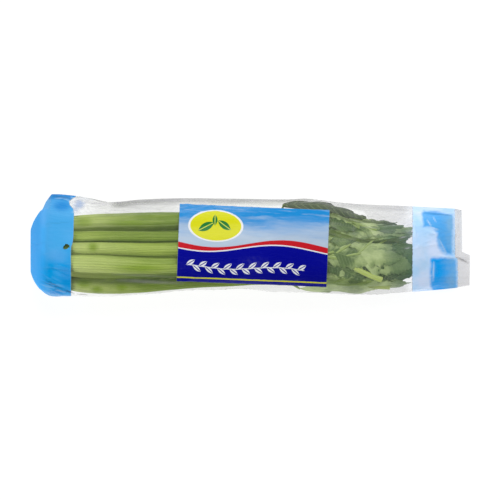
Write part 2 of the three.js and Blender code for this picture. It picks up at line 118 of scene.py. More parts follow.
INNER_STALKS = [dict(angle=angle, spread=29, spray=angle, tint=-0.4) for angle in (55, 127, 199, 271, 343)]
HEART_STALKS = [dict(angle=angle, spread=40, spray=angle, tint=-0.6) for angle in (90, 210, 330)]

# The leafy tops lie in bent shells round the head, one over the next.
OUTER_SHELL = dict(radius=40.5, climb=6.6, reach=29, depth=2.8)
INNER_SHELL = dict(radius=20.6, climb=6, reach=19, depth=2.4)
HEART_SHELL = dict(radius=7.7, climb=1.2, reach=5.6, depth=1.5)
PRESSED_SHELL = dict(radius=49.2, climb=0, reach=15, depth=1)

# A spray's side stems come off in pairs. Each pair has the share of the way along its own stem, the side
# stem's length, the leaflet's length, how far it spreads in degrees, and its layer: where the leaflets lie
# in the depth of their shell, from -1 inside to 1 outside. The fillers are the small leaflets in the gaps.
OUTER_PLAN = dict(
    run=86, stray=3, side_stem=0.5, tip=dict(leaflet=54, layer=0.65),
    pairs=[(0.06, 18, 50, 34, -0.65), (0.55, 14, 44, 38, -0.1), (0.93, 8, 46, 28, 0.3)],
    fillers=[(0.3, 12, 38, 16, -0.25), (0.7, 10, 42, 56, -0.4), (0.9, 14, 40, 44, -0.1),
             (0.98, 6, 46, 13, 0.05)],
)
UNDER_PLAN = dict(OUTER_PLAN, pairs=[(0.14, 18, 54, 34, -0.65), (0.76, 14, 50, 32, 0.05)])
INNER_PLAN = dict(
    run=82, stray=2, side_stem=0.55, tip=dict(leaflet=40, layer=0.65),
    pairs=[(0.1, 16, 36, 26, -0.6), (0.72, 11, 30, 32, 0.05)], fillers=[(0.42, 9, 28, 22, -0.3)],
)
HEART_PLAN = dict(
    run=56, stray=0.5, side_stem=0.6, tip=dict(leaflet=28, layer=0.5),
    pairs=[(0.35, 9, 22, 15, -0.4)], fillers=[],
)


# ---- Curves along the head ----


def through(knots):
    """A smooth curve through [distance, value] knots, level at both ends."""
    x, y = np.array(knots, float).T
    slopes = np.zeros(len(x))
    slopes[1:-1] = (y[2:] - y[:-2]) / (x[2:] - x[:-2])

    def curve(at):
        at = np.clip(np.asarray(at, float), x[0], x[-1])
        i = np.clip(np.searchsorted(x, at, side="right") - 1, 0, len(x) - 2)
        span = x[i + 1] - x[i]
        t = (at - x[i]) / span
        ease = t * t * (3 - 2 * t)
        pull = span * t * (1 - t) * (slopes[i] * (1 - t) - slopes[i + 1] * t)
        return y[i] + (y[i + 1] - y[i]) * ease + pull

    return curve


axis_side = through([
    [-17, -5.5], [-8, -5.2], [0, -4.6], [28, -8], [67, -8.2], [99, -6.8], [138, -4.9], [193, -3.4],
    [246, -1.1], [272, -0.4], [298, -2.4], [330, -8.2], [356, -9.6], [384, -8.6], [403, -6.5], [430, -3.4],
    [447, -2.1],
])
width_scale = through([
    [-17, 0.46], [-15.8, 0.54], [-12.6, 0.68], [-8.4, 0.81], [-4, 0.91], [6, 1], [30, 0.985], [99, 0.985],
    [138, 0.955], [165, 0.925], [193, 0.92], [235, 0.925], [272, 0.95], [298, 0.935], [330, 0.845],
    [356, 0.8], [384, 0.765], [403, 0.75], [447, 0.72],
])
height_scale = through([
    [-17, 0.05], [-13, 0.26], [-7, 0.56], [0, 0.74], [15, 0.85], [50, 0.88], [140, 0.86], [200, 0.82],
    [246, 0.74], [272, 0.69], [330, 0.61], [370, 0.56], [390, 0.48], [410, 0.33], [430, 0.2],
    [447, 0.14],
])
film_radius = through([[-17, 45.8], [200, 45.8], [240, 50.4], [384, 50.4], [447, 50.4]])
seal_lift = through([[-17, 15], [-9, 10], [4, 0], [447, 0]])
growth = through([[0, 0.66], [10, 0.78], [26, 0.92], [52, 0.99], [80, 1]])
stalk_taper = through([[0, 1], [40, 1], [130, 0.94], [190, 0.8], [225, 0.6], [272, 0.42]])
far_fin = through([
    [-17, 15], [-12.6, 26.8], [-8.4, 32], [-4.2, 36.2], [-2.1, 41.5], [0, 45.7], [4.2, 51.4], [6.6, 53.9],
    [28, 52.6], [46, 49.8], [67, 46], [99, 48.4], [138, 49.8], [193, 49.4], [256, 48.6], [272, 49.4],
    [298, 46.4], [330, 43.6], [384, 41.4], [430, 39], [447, 37.6],
])
near_fin = through([
    [-17, -26.5], [-12.6, -36.6], [-8.4, -43], [-4.2, -47.6], [0, -50.8], [5, -53], [12, -53.6],
    [22, -52.8], [69, -52], [99, -50.2], [138, -47.2], [165, -45], [193, -45.4], [240, -46.2], [258, -46.8],
    [283, -49.4], [360, -50], [384, -49], [410, -47], [430, -45], [447, -42.5],
])
fin_height = through([
    [-17, 17], [6, 26], [28, 24], [67, 14], [193, 16], [298, 18], [384, 12], [447, 6],
])
root_radius = through([[0, 18.8], [2, 19.8], [12, 22.3], [20, 20.5], [23.5, 14]])

FILM_SINK = 1.2  # how far the round bag settles to make its flat underside


def axis_height(along):
    return film_radius(along) * height_scale(along) - FILM_SINK + seal_lift(along)


def place(along, degrees, radius):
    """Points for distances along the head, angles round it and radii."""
    along, angle, radius = np.broadcast_arrays(along, np.radians(degrees), radius)
    return np.stack([
        BUTT_X + along,
        axis_side(along) + radius * width_scale(along) * np.cos(angle),
        axis_height(along) + radius * height_scale(along) * np.sin(angle),
    ], axis=-1)


def smooth_step(value, low, high):
    t = np.clip((np.asarray(value, float) - low) / (high - low), 0, 1)
    return t * t * (3 - 2 * t)


# ---- The frame's pixels ----

PIXEL = 1.05  # millimetres on the head for a pixel of the 500 x 500 frame
FRAME_MIDDLE = (250.5, 245.5)  # the pixel above the origin
VIEW_FROM = (-0.5, -4.7, 3030)  # the frame is seen from here, so what stands nearer shows larger
PIXEL_AT = 25.8  # height at which a pixel is PIXEL long


def from_pixels(pixels):
    """X and Y in millimetres of points given as pixels of the frame."""
    pixels = np.array(pixels, float)
    x, y = pixels[..., 0] - FRAME_MIDDLE[0], FRAME_MIDDLE[1] - pixels[..., 1]
    return np.stack([x * PIXEL, y * PIXEL], axis=-1)


def as_seen(points):
    """X and Y of points as the frame shows them."""
    middle, high = np.array(VIEW_FROM[:2]), VIEW_FROM[2]
    return middle + (points[..., :2] - middle) * ((high - PIXEL_AT) / (high - points[..., 2:]))


# ---- Making meshes ----


def draws_from(seed):
    """A repeatable draw between 0 and 1."""
    state = seed

    def draw():
        nonlocal state
        state = (state * 1664525 + 1013904223) % 2**32
        return state / 2**32

    return draw


def drift(x, y, seed, octaves=3):
    """Smooth noise between about -1 and 1 over a plane."""
    x, y = np.broadcast_arrays(np.asarray(x, float), np.asarray(y, float))
    total, strength, size = 0.0, 1.0, 0.0
    for octave in range(octaves):
        cell_x, cell_y = np.floor(x), np.floor(y)
        fx, fy = x - cell_x, y - cell_y
        fx, fy = fx * fx * (3 - 2 * fx), fy * fy * (3 - 2 * fy)

        def corner(dx, dy):
            phase = (cell_x + dx) * 12.9898 + (cell_y + dy) * 78.233 + (seed + octave) * 37.719
            shuffled = np.sin(phase) * 43758.5453
            return (shuffled - np.floor(shuffled)) * 2 - 1

        low = corner(0, 0) * (1 - fx) + corner(1, 0) * fx
        high = corner(0, 1) * (1 - fx) + corner(1, 1) * fx
        total = total + strength * (low * (1 - fy) + high * fy)
        size += strength
        strength, x, y = strength * 0.5, x * 2.03 + 5.2, y * 2.03 + 1.3
    return total / size


def grid_faces(rows, columns, closed=False):
    """The four-sided faces of a grid of points, row by row. Closed joins the last column to the first."""
    across = columns if closed else columns - 1
    row, column = np.meshgrid(np.arange(rows - 1), np.arange(across), indexing="ij")
    a = row * columns + column
    b = row * columns + (column + 1) % columns
    return np.stack([a, b, b + columns, a + columns], axis=-1).reshape(-1, 4)


def normals_of(points, closed=False):
    """Unit normals of a grid of points. Closed means that its columns go all the way round."""
    if closed:
        across = np.roll(points, -1, axis=1) - np.roll(points, 1, axis=1)
    else:
        across = np.gradient(points, axis=1)
    normals = np.cross(np.gradient(points, axis=0), across)
    return normals / np.maximum(np.linalg.norm(normals, axis=-1, keepdims=True), 1e-9)


# Soft spots, in pixels of the frame: centre, half length, half width and strength. The first are on the
# stalks, and the others are on the film, by the name of the value that they paint.
FRESH_SPOTS = [(93, 247, 5, 4.5, 1), (97, 290, 6, 4.5, 1), (122, 287.5, 5, 3.5, 1), (84, 283, 8, 5, 1),
               (140, 268, 22, 4, 0.8), (84, 222, 9, 5, 0.8), (128, 223, 20, 3, 1)]
FILM_SPOTS = dict(
    deep_spot=[(62, 206, 9, 5, 0.9), (56, 292, 9, 2.5, 0.8), (66, 276, 6, 12, 0.4)],
    pale_spot=[(42, 219, 4, 8, 0.35), (36, 240, 6, 16, 0.2), (57, 256, 10, 7, 0.2)],
    bloom=[(79, 204.5, 6.5, 5.5, 1), (75.5, 209.5, 5, 3, 0.8), (84, 199, 8, 2.5, 0.4)],
)

# Fine strokes on the film, in pixels of the frame: from, to, half width in millimetres and strength. The
# dark ones are painted shade along creases and folds, and the bright ones painted highlights and glints.
FILM_STROKES = dict(
    dark_stroke=[
        ((42, 281), (58, 288), 0.9, 0.7), ((46, 280), (63, 289), 0.9, 0.8), ((55, 289), (66, 292), 0.9, 0.7),
        ((65, 290), (74, 293.4), 1.1, 1.0), ((77, 294), (88, 295), 0.8, 0.8),
        ((54, 196), (71, 199), 1.5, 0.5), ((86, 197.2), (111, 204), 0.8, 0.4),
        ((87, 203.6), (96, 204.6), 0.7, 0.5), ((110, 204), (134, 202.6), 1.0, 0.35),
        ((116, 206.6), (130, 208), 0.7, 0.35), ((112, 204), (176, 199), 0.8, 0.25),
        ((456, 257.4), (468, 263), 1.0, 0.5), ((424, 213), (454, 215.5), 1.6, 0.4),
        ((44, 224), (70, 222), 1.0, 0.15), ((44, 268), (71, 271), 1.2, 0.25),
    ],
    bright_stroke=[
        ((55, 198.4), (64, 198.8), 0.8, 0.6), ((63, 198.8), (70, 201.4), 0.8, 0.6),
        ((71, 197.4), (77, 199.2), 1.1, 0.9), ((69, 201.6), (75, 203.8), 1.3, 0.9),
        ((72, 212), (80, 213), 1.2, 0.8), ((40, 284), (54, 288), 1.2, 0.45), ((56, 290), (65, 292), 0.9, 0.6),
        ((50, 283), (64, 287), 1.2, 0.3), ((433.6, 262), (433.2, 281), 1.1, 0.8),
        ((427, 220), (431, 226), 1.0, 0.7), ((433, 217), (436, 222), 0.9, 0.6),
        ((430, 227), (438, 230), 1.1, 0.7), ((439, 240), (446, 253), 1.3, 0.5),
        ((400, 238), (406, 236.5), 1.4, 0.6), ((404, 248.5), (411, 247.5), 1.3, 0.6),
        ((360, 227), (378, 228), 1.6, 0.35), ((110, 285), (116, 279), 0.8, 0.25),
        ((100, 284), (108, 276), 0.8, 0.25),
    ],
)


def spots(seen, listed):
    """How strongly points lie in any of the listed spots."""
    share = np.zeros(seen.shape[:-1])
    for x, y, long, wide, strength in listed:
        off = seen - from_pixels((x, y))
        reach = np.hypot(off[..., 0] / (long * PIXEL), off[..., 1] / (wide * PIXEL))
        share = np.maximum(share, strength * smooth_step(reach, 1.5, 0.3))
    return share


def from_line(points, start, end):
    """How far points lie from a straight line, and how far along it they are as a share."""
    start, end = np.array(start), np.array(end)
    run = end - start
    share = np.clip(((points - start) @ run) / (run @ run), 0, 1)
    return np.linalg.norm(points - start - share[..., None] * run, axis=-1), share


def strokes(seen, listed):
    """How strongly points lie on any of the listed strokes."""
    total = np.zeros(seen.shape[:-1])
    for start, end, width, strength in listed:
        distance, share = from_line(seen, from_pixels(start), from_pixels(end))
        fade = np.sin(math.pi * np.clip(share, 0.08, 0.92)) ** 0.5
        total = np.maximum(total, strength * fade * smooth_step(distance, width, width * 0.3))
    return total


class Skin:
    """The points, faces and painted values of one piece, gathered in millimetres."""

    def __init__(self):
        self.points, self.faces, self.values, self.count = [], [], {}, 0

    def add(self, points, faces, **values):
        points = np.asarray(points, float)
        for name, value in values.items():
            self.values.setdefault(name, []).append(np.broadcast_to(value, points.shape[:-1]).ravel())
        self.points.append(points.reshape(-1, 3))
        self.faces.extend((np.asarray(faces) + self.count).tolist())
        self.count += len(self.points[-1])

    def piece(self, name, material, slot, *nodes):
        """Makes the mesh, lets it ride on the head and stand for its CAD nodes."""
        mesh = bpy.data.meshes.new(name)
        mesh.from_pydata((np.concatenate(self.points) * MM).tolist(), [], self.faces)
        mesh.polygons.foreach_set("use_smooth", [True] * len(mesh.polygons))
        for key, parts in self.values.items():
            value = np.concatenate(parts).astype(np.float32)
            mesh.attributes.new(key, "FLOAT", "POINT").data.foreach_set("value", value)
        mesh.materials.append(material)
        mesh.update()
        made = bpy.data.objects.new(name, mesh)
        bpy.context.scene.collection.objects.link(made)
        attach(made, "root")
        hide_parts(*nodes)
        return made


# ---- Stalks and the root plate ----

# The outer stalks lean round the head: for an angle, the degrees that a stalk there is turned by at the
# first and at the last of two distances from the butt.
LEAN_AT = (46, 138)
LEAN = np.array([
    (-40, 0, 0), (40, 5, 11.5), (64.5, 5.6, 11.3), (72, -1.7, 4.3), (96, -4.7, 5.8), (128, 0, 8),
    (147, 3, 13), (200, 0, 0),
], float)
LEAN_STARTS, LEAN_ENDS = (4, 40), (235, 180)
LEAFY_NECK = 34  # a leafy stalk narrows to its stem over this distance
# Round a stalk's long edge, from its back to its face: the side, and how far past the edge it bulges.
EDGE_ROUND = [(1.0, 0.0), (0.7, 0.022), (0.0, 0.032), (-0.7, 0.022), (-1.0, 0.0)]


def leaned(kind, angle, along):
    """The angle after the lean, which is over before the stalks narrow to their stems."""
    if kind is not OUTER:
        return angle
    early, late = (np.interp(angle, LEAN[:, 0], LEAN[:, k]) for k in (1, 2))
    turn = early + (late - early) * smooth_step(along, *LEAN_AT)
    return angle + turn * smooth_step(along, *LEAN_STARTS) * smooth_step(along, *LEAN_ENDS)


def stalk_points(kind, shell, stalk, along, u, side, seed):
    """Points of a stalk. u runs across it from -1 to 1, and side is 1 on its ribbed back, -1 on its face."""
    end = kind["leafy_end"]
    neck = smooth_step(along, end - LEAFY_NECK, end) if "spray" in stalk else 0.0
    taper = stalk_taper(along)
    spread = stalk["spread"] * taper
    wide = np.radians(spread) * kind["radius"]
    spread = spread * (1 + neck * (kind["stem_radius"] / wide - 1))
    hollow = kind["hollow"] * min(1, stalk["spread"] / 20) * taper * (1 - neck)
    thickness = kind["thickness"] * (0.55 + 0.45 * taper)
    thickness = thickness + (kind["stem_radius"] * 2 - thickness) * neck
    inside = np.clip(u, -1, 1)
    middle = kind["radius"] - stalk.get("sunk", 0) * smooth_step(along, 0, 40) - hollow * inside**2
    if "spray" in stalk:
        turn = math.radians(stalk["angle"] - stalk["spray"])
        middle = middle + (shell["radius"] + shell["climb"] * turn - kind["radius"]) * neck
    half = STALK_EDGE / 2 + (thickness - STALK_EDGE) / 2 * np.sqrt(1 - inside**2)
    waver = 0.05 * drift(inside * 1.3 + seed, 2.0, seed, 2)
    crest = np.abs(np.sin(math.pi * kind["ribs"] / 2 * (inside + waver + 1))) ** 0.75
    strength = 0.75 + 0.35 * drift(inside * 3.1, along / 90, seed + 5, 2)
    rib = kind["rib_height"] * crest * strength * (1 - 0.8 * neck) * np.clip(side, 0, 1)
    sway = 0.35 * drift(along / 46, seed * 3.7, seed, 2) + 0.18 * drift(along / 17, inside * 2, seed + 9, 2)
    angle = leaned(kind, stalk["angle"] + u * spread, along)
    return place(along, angle, (middle + side * half + rib + sway) * growth(along))


def stalk_piece(kind, shell, stalk, number, material, slot):
    seed = number + 10 * len(kind["name"])
    end = kind["leafy_end"] if "spray" in stalk else kind["trimmed_end"]
    t = np.linspace(0, 1, kind["rings"])
    along = kind["start"] + (end - kind["start"]) * (0.6 * t + 0.4 * t**1.6)
    share = np.linspace(-1, 1, kind["back_points"])
    u = 0.45 * share + 0.55 * np.sin(share * math.pi / 2)

    def section(at):
        """All of one cross-section, as rows from its back to its face and columns across it."""
        rows = []
        for side, past in EDGE_ROUND:
            across = u.copy()
            across[[0, -1]] += (-past, past)
            rows.append(stalk_points(kind, shell, stalk, at, across, side, seed))
        return np.array(rows)

    skin = Skin()
    last, wide = len(EDGE_ROUND) - 1, len(u)
    round_rows = [0] * wide + [*range(1, last)] + [last] * wide + [*range(last - 1, 0, -1)]
    round_columns = [*range(wide)] + [wide - 1] * (last - 1) + [*range(wide - 1, -1, -1)] + [0] * (last - 1)
    sections = np.array([section(at) for at in along])
    rings = sections[:, round_rows, round_columns]
    across, back = u[round_columns], np.array([side for side, past in EDGE_ROUND])
    skin.add(rings, grid_faces(len(along), rings.shape[1], closed=True), along=along[:, None],
             across=across[None, :], back=back[round_rows][None, :], cut=0.0, tint=stalk["tint"],
             fresh=spots(as_seen(rings), FRESH_SPOTS))
    for ring, outward in ((0, -1), (-1, 1)):
        cap = sections[ring].copy()
        depth = np.array([0, 0.7, 1, 0.7, 0])[:, None] * np.sqrt(1 - u[None, :] ** 2)
        cap[..., 0] += outward * 0.35 * depth * (1 + 0.6 * drift(u[None, :] * 4, 1.0, seed, 2))
        faces = grid_faces(len(EDGE_ROUND), wide)
        if outward > 0:
            faces = faces[:, ::-1]
        skin.add(cap, faces, along=along[ring], across=u[None, :], back=back[:, None], cut=1.0,
                 tint=stalk["tint"], fresh=0.0)
    name = f"stalk_{kind['name']}_{number}"
    return skin.piece(f"{kind['name']}_stalk_{number}", material, slot, name)


ROOT_END = 23.5
ROOT_SIDES, ROOT_CAP_RINGS = 96, 14


def root_plate_piece(material):
    """The short plate that the stalks grow from, cut flat across at the butt."""
    angle = np.arange(ROOT_SIDES) / ROOT_SIDES * 360

    def lumps(at):
        return 0.5 * drift(angle / 24, at / 7, 3)

    def scars(at):
        return 0.6 * np.abs(np.sin(np.radians(angle) * 4 + at * 0.05))

    along = np.concatenate([np.linspace(0, 2, 5), np.linspace(2.6, ROOT_END, 26)])[:, None]
    wall = root_radius(along) + lumps(along) * smooth_step(along, 0, 3)
    wall = wall - scars(along) * smooth_step(along, 2, 8)
    skin = Skin()
    skin.add(place(along, angle, wall), grid_faces(len(along), ROOT_SIDES, closed=True), cut=0.0,
             ring_place=1.0, along=along)
    for at, outward in ((0.0, -1), (ROOT_END, 1)):
        share = np.linspace(1, 0.04, ROOT_CAP_RINGS)[:, None]
        rim = root_radius(at) - (scars(at) if at else 0)
        rim = rim + (lumps(at) if at else 0)
        cap = place(at, angle, share * rim)
        cap[..., 0] += outward * 0.7 * (1 - share**2) + 0.12 * drift(share * 9, angle / 40, 8) * (1 - share)
        faces, centre = grid_faces(ROOT_CAP_RINGS, ROOT_SIDES, closed=True), np.arange(ROOT_SIDES)
        if outward < 0:
            faces, centre = faces[:, ::-1], centre[::-1]
        skin.add(cap, faces, cut=1.0 if outward < 0 else 0.0, ring_place=share, along=at)
        skin.faces.append((centre + skin.count - ROOT_SIDES).tolist())
    return skin.piece("root_plate", material, "root_plate", "stem_base")


# ---- Leafy sprays ----

TEETH = 11  # down each side of a leaflet
ROWS_PER_TOOTH = 5
VEIN_SLANT = 0.5  # the side veins and lobes lean this far towards the tip, as a slope
LEAFLET_REACH = [
    (0.0, 0.035), (0.05, 0.09), (0.1, 0.25), (0.15, 0.41), (0.21, 0.36), (0.29, 0.26), (0.345, 0.32),
    (0.39, 0.36), (0.46, 0.29), (0.535, 0.23), (0.6, 0.24), (0.67, 0.23), (0.8, 0.17), (0.92, 0.08),
    (1.0, 0.01),
]
LEAF_COLUMNS = np.array([-1, -0.87, -0.7, -0.52, -0.35, -0.2, -0.07, 0, 0.07, 0.2, 0.35, 0.52, 0.7, 0.87, 1])
LEAF_SEAT = 2  # how far a leaflet starts back along its stem
LEAF_HALF = 0.2  # half a leaf's thickness at its midrib
TOP_SHRINK = 0.99  # a pixel is this much shorter on the leaves, which are nearer
STEM_SIDES = 12
SIDE_STEM_RADIUS = 1.7
STEM_GAP = 0.4
KNOT_SWELL, STEM_GROOVE, STEM_RIBS = 0.28, 0.22, 0.05  # as shares of a stem's radius
TOOTH_DEPTH, RUFFLE = 0.038, 0.026  # as shares of a leaflet's length
TOOTH_PEAK = 0.72  # the share of a tooth's run at which it stands out most
PUCKER, MIDRIB_SINK = 0.07, 0.45
WAVE = 6.28  # radians in a wave


def on_shell(shell, centre, along, sideways, out):
    """Points of a spray: distance along, distance sideways round its shell and depth out of it."""
    turn = shell["reach"] * np.tanh(sideways / shell["reach"]) / shell["radius"]
    depth = shell["depth"] * 1.1
    radius = shell["radius"] + shell["climb"] * turn + depth * np.tanh(out / depth)
    return place(along, centre + np.degrees(turn), radius)


def on_top(shell, centre, pixel):
    """Distances along and sideways of the point of a shell's upper side that a pixel of the frame shows."""
    x, y = from_pixels(pixel) * TOP_SHRINK
    along = float(x) - BUTT_X
    across = (float(y) - float(axis_side(along))) / (shell["radius"] * float(width_scale(along)))
    return along, (math.acos(max(-0.99, min(0.99, across))) - math.radians(centre)) * shell["radius"]


def part_way(start, end, share):
    return [a + (b - a) * share for a, b in zip(start, end)]


def add_stem(skin, shell, centre, start, end, start_radius, end_radius, draw, swollen=(), cut_end=False):
    """A grooved round stem that narrows from one end to the other, with a slight bow."""
    start, end = np.array(start, float), np.array(end, float)
    length = np.linalg.norm(end - start)
    t = np.linspace(0, 1, max(6, int(length / 3)))[:, None]
    heading = math.atan2(end[1] - start[1], end[0] - start[0])
    bow = (draw() - 0.5) * 0.05 * length * np.sin(math.pi * t)
    angle = np.arange(STEM_SIDES) / STEM_SIDES * 2 * math.pi
    radius = start_radius + (end_radius - start_radius) * t
    for knot in swollen:
        radius = radius * (1 + KNOT_SWELL * np.exp(-(((t - knot) * length / 3) ** 2)))
    radius = radius * (1 - STEM_GROOVE * np.exp(-(((angle[None, :] - 1.5 * math.pi) / 0.5) ** 2)))
    radius = radius * (1 + STEM_RIBS * np.cos(angle * 6))
    across = radius * np.cos(angle) + bow
    along = start[0] + (end[0] - start[0]) * t - across * math.sin(heading)
    turn = (start[1] + (end[1] - start[1]) * t + across * math.cos(heading)) / shell["radius"]
    out = start[2] + (end[2] - start[2]) * t + radius * np.sin(angle)
    points = place(along, centre + np.degrees(turn), shell["radius"] + shell["climb"] * turn + out)
    painted = dict(off_midrib=9.0, stem=1.0, under=0.0, shade=1.0 if cut_end else 0.5 * draw())
    skin.add(points, grid_faces(len(t), STEM_SIDES, closed=True), rib_place=t, reach=np.cos(angle)[None, :],
             cut=0.0, **painted)
    order = list(range(STEM_SIDES))
    skin.add(points[0], [order[::-1]], rib_place=0.0, reach=0.0, cut=0.0, **painted)
    skin.add(points[-1], [order], rib_place=0.0, reach=0.0, cut=1.0 if cut_end else 0.0, **painted)


def add_leaflet(skin, shell, centre, base, heading, length, fold, curl, draw, shade=None):
    """A lobed and toothed leaflet, thin and closed, with its rows laid along the side veins."""
    m = np.linspace(0, 1, TEETH * ROWS_PER_TOOTH + 1)[:, None]
    s = LEAF_COLUMNS[None, :]
    lobe_m, lobe_q = np.array(LEAFLET_REACH).T

    def half_reach():
        return np.interp(m * (1 + 0.05 * (draw() - 0.5)), lobe_m, lobe_q) * (0.92 + 0.16 * draw())

    reach = np.where(s < 0, half_reach(), half_reach())
    saw = (m * TEETH + 0.35) % 1
    tooth = np.where(saw < TOOTH_PEAK, (saw / TOOTH_PEAK) ** 0.8, (1 - saw) / 0.28)
    reach = reach + TOOTH_DEPTH * (tooth - 0.4) * smooth_step(m, 0.04, 0.16) * (1 - smooth_step(m, 0.93, 1.0))
    q = s * reach
    t = m + VEIN_SLANT * np.abs(q) * (1 - m**6)
    phase, waves, bend = draw() * WAVE, 1.8 + 1.4 * draw(), (draw() - 0.5) * 0.34
    ruffle = RUFFLE * length * np.abs(s) ** 1.6 * np.sin(WAVE * waves * m + phase + 2.1 * np.sign(s))
    pucker = -PUCKER * np.cos(WAVE * (m * TEETH + 0.07)) * np.abs(s) * (1.25 - np.abs(s)) * 2
    groove = -MIDRIB_SINK * np.exp(-((q * length / 0.9) ** 2)) * (1 - m)
    out = base[2] + fold * np.abs(q) * length + curl * (t * t - 0.2) + ruffle + pucker + groove
    turned = heading + bend * (t - 0.2)
    along = base[0] + length * (t * np.cos(turned) - q * np.sin(turned))
    sideways = base[1] + length * (t * np.sin(turned) + q * np.cos(turned))
    middle = on_shell(shell, centre, along, sideways, out)
    normals = normals_of(middle)
    outward = place(along, centre, 200) - place(along, centre, 0)
    normals *= np.where((normals * outward).sum(-1, keepdims=True).mean() < 0, -1, 1)
    half = (LEAF_HALF * (1.15 - 0.6 * np.abs(s)) * (1 - 0.4 * m))[..., None]
    rows, columns = middle.shape[:2]
    count = rows * columns
    top = grid_faces(rows, columns)
    faces = [top[:, ::-1], top + count]
    edge = np.concatenate([
        np.arange(columns), np.arange(1, rows) * columns + columns - 1,
        (rows - 1) * columns + np.arange(columns - 2, -1, -1), np.arange(rows - 2, 0, -1) * columns,
    ])
    ahead = np.roll(edge, -1)
    faces.append(np.stack([edge, ahead, ahead + count, edge + count], axis=-1))
    points = np.stack([middle + normals * half, middle - normals * half])
    skin.add(points, np.concatenate(faces), rib_place=m[None], reach=s[None],
             off_midrib=(np.abs(q) * length)[None], stem=0.0, cut=0.0,
             shade=draw() if shade is None else shade, under=np.array([0.0, 1.0])[:, None, None])


def spray_piece(kind, shell, stalk, plan, number, seed, material, slot):
    """A whole leafy top: the stalk's own stem runs on, with side stems in pairs, and ends in a leaflet."""
    draw, loose = draws_from(seed), draws_from(seed + 500)

    def vary(low, high, source=draw):
        return low + (high - low) * source()

    centre = stalk["spray"]
    start_side = math.radians(stalk["angle"] - centre) * shell["radius"]
    tip_layer = plan["tip"]["layer"]
    end = (kind["leafy_end"] + plan["run"], vary(-1, 1) * plan["stray"], tip_layer * shell["depth"] * 0.5)
    lean = abs(end[1] - start_side) / plan["run"]
    start = (kind["leafy_end"] + STEM_GAP + kind["stem_radius"] * lean, start_side, 0)
    skin = Skin()
    knots = [pair[0] for pair in plan["pairs"] + plan["fillers"]]
    hidden_start, radius = (start[0] - 5, start[1], 0), kind["stem_radius"]
    add_stem(skin, shell, centre, hidden_start, end, radius, radius * 0.4, loose, knots)

    def on_from(at, heading, distance, layer):
        """The place that a straight walk from another one ends at."""
        along, side = at[0] + distance * math.cos(heading), at[1] + distance * math.sin(heading)
        return along, side, layer * shell["depth"]

    def leaflet(at, heading, length, layer, source=draw, shade=None):
        base = on_from(at, heading, -LEAF_SEAT, layer)
        fold = vary(-0.05, 0.05, source)
        curl = vary(-0.8, 0.8, source)
        add_leaflet(skin, shell, centre, base, heading, length, fold * 2.5, curl * 2.5, loose, shade)

    def branch(at, side, spread, reach, layer, radius):
        origin = part_way(start, end, at)
        heading = side * math.radians(spread)
        to = on_from(origin, heading, reach, layer)
        add_stem(skin, shell, centre, origin, to, radius, radius * 0.6, loose)
        return to, heading

    def pair_of_leaflets(at, stem, length, spread, layer, source):
        radius = kind["stem_radius"] * plan["side_stem"]
        for side in (-1, 1):
            turn = spread * vary(0.85, 1.15, source)
            to, heading = branch(at, side, turn, stem * vary(0.9, 1.1, source), layer, radius)
            turned = heading + side * vary(-0.2, 0.15, source)
            leaflet(to, turned, length * vary(0.92, 1.08, source), layer, source)

    for pair in plan["pairs"]:
        pair_of_leaflets(*pair, draw)
    for at, last, layer, radius in stalk.get("bare_stems", []):
        origin = part_way(start, end, at)
        origin[2] -= kind["stem_radius"] * 0.9
        to = (*on_top(shell, centre, last), layer * shell["depth"])
        add_stem(skin, shell, centre, origin, to, radius * 0.8, radius * 0.9, loose, cut_end=True)
    if "pressed" in stalk:
        pressed = stalk["pressed"]
        turn = math.radians(pressed["angle"] - centre)
        out = PRESSED_SHELL["radius"] - shell["radius"] - shell["climb"] * turn
        along = pressed["start"]
        side = start[1] + (end[1] - start[1]) * (along - start[0]) / (end[0] - start[0])
        add_stem(skin, shell, centre, (along, side, 0), (pressed["end"], turn * shell["radius"], out),
                 SIDE_STEM_RADIUS, 1.3, loose)
        base, length = (pressed["end"] - LEAF_SEAT, 0, 0), pressed["leaflet"]
        add_leaflet(skin, PRESSED_SHELL, pressed["angle"], base, 0, length, 0, 0, loose, pressed["shade"])
    for at, first, last, layer, shade in stalk.get("loose", []):
        base, tip = (on_top(shell, centre, pixel) for pixel in (first, last))
        to = (base[0] + LEAF_SEAT, base[1], layer * shell["depth"])
        add_stem(skin, shell, centre, part_way(start, end, at), to, SIDE_STEM_RADIUS, 1.1, loose)
        heading, length = math.atan2(tip[1] - base[1], tip[0] - base[0]), math.dist(base, tip)
        fold, curl = vary(-0.25, 0.25, loose), vary(-3, 3, loose)
        add_leaflet(skin, shell, centre, (*base, to[2]), heading, length, fold, curl, loose, shade)
    heading = vary(-0.12, 0.12)
    leaflet(end, heading, plan["tip"]["leaflet"] * vary(1.0, 1.08), tip_layer, shade=stalk.get("tip_shade"))
    for pair in plan["fillers"]:
        pair_of_leaflets(*pair, loose)
    name = f"{kind['name']}_{number}"
    return skin.piece(f"{kind['name']}_leaves_{number}", material, slot, f"leaves_{name}")


# ---- The film bag ----

FILM_RINGS = 410  # sections along the bag
END_RINGS = 45  # of them, the ones that round the sealed end
FILM_HALF = 100  # points over the top of each section, and as many underneath
ARC_POINTS = 160  # that a section is measured along before its points are spaced
MOUTH_STEP = 8.4  # the lips are cut back this far on the +Y side
MOUTH_STEP_Y = -11
MOUTH_STEP_WIDTH = 5

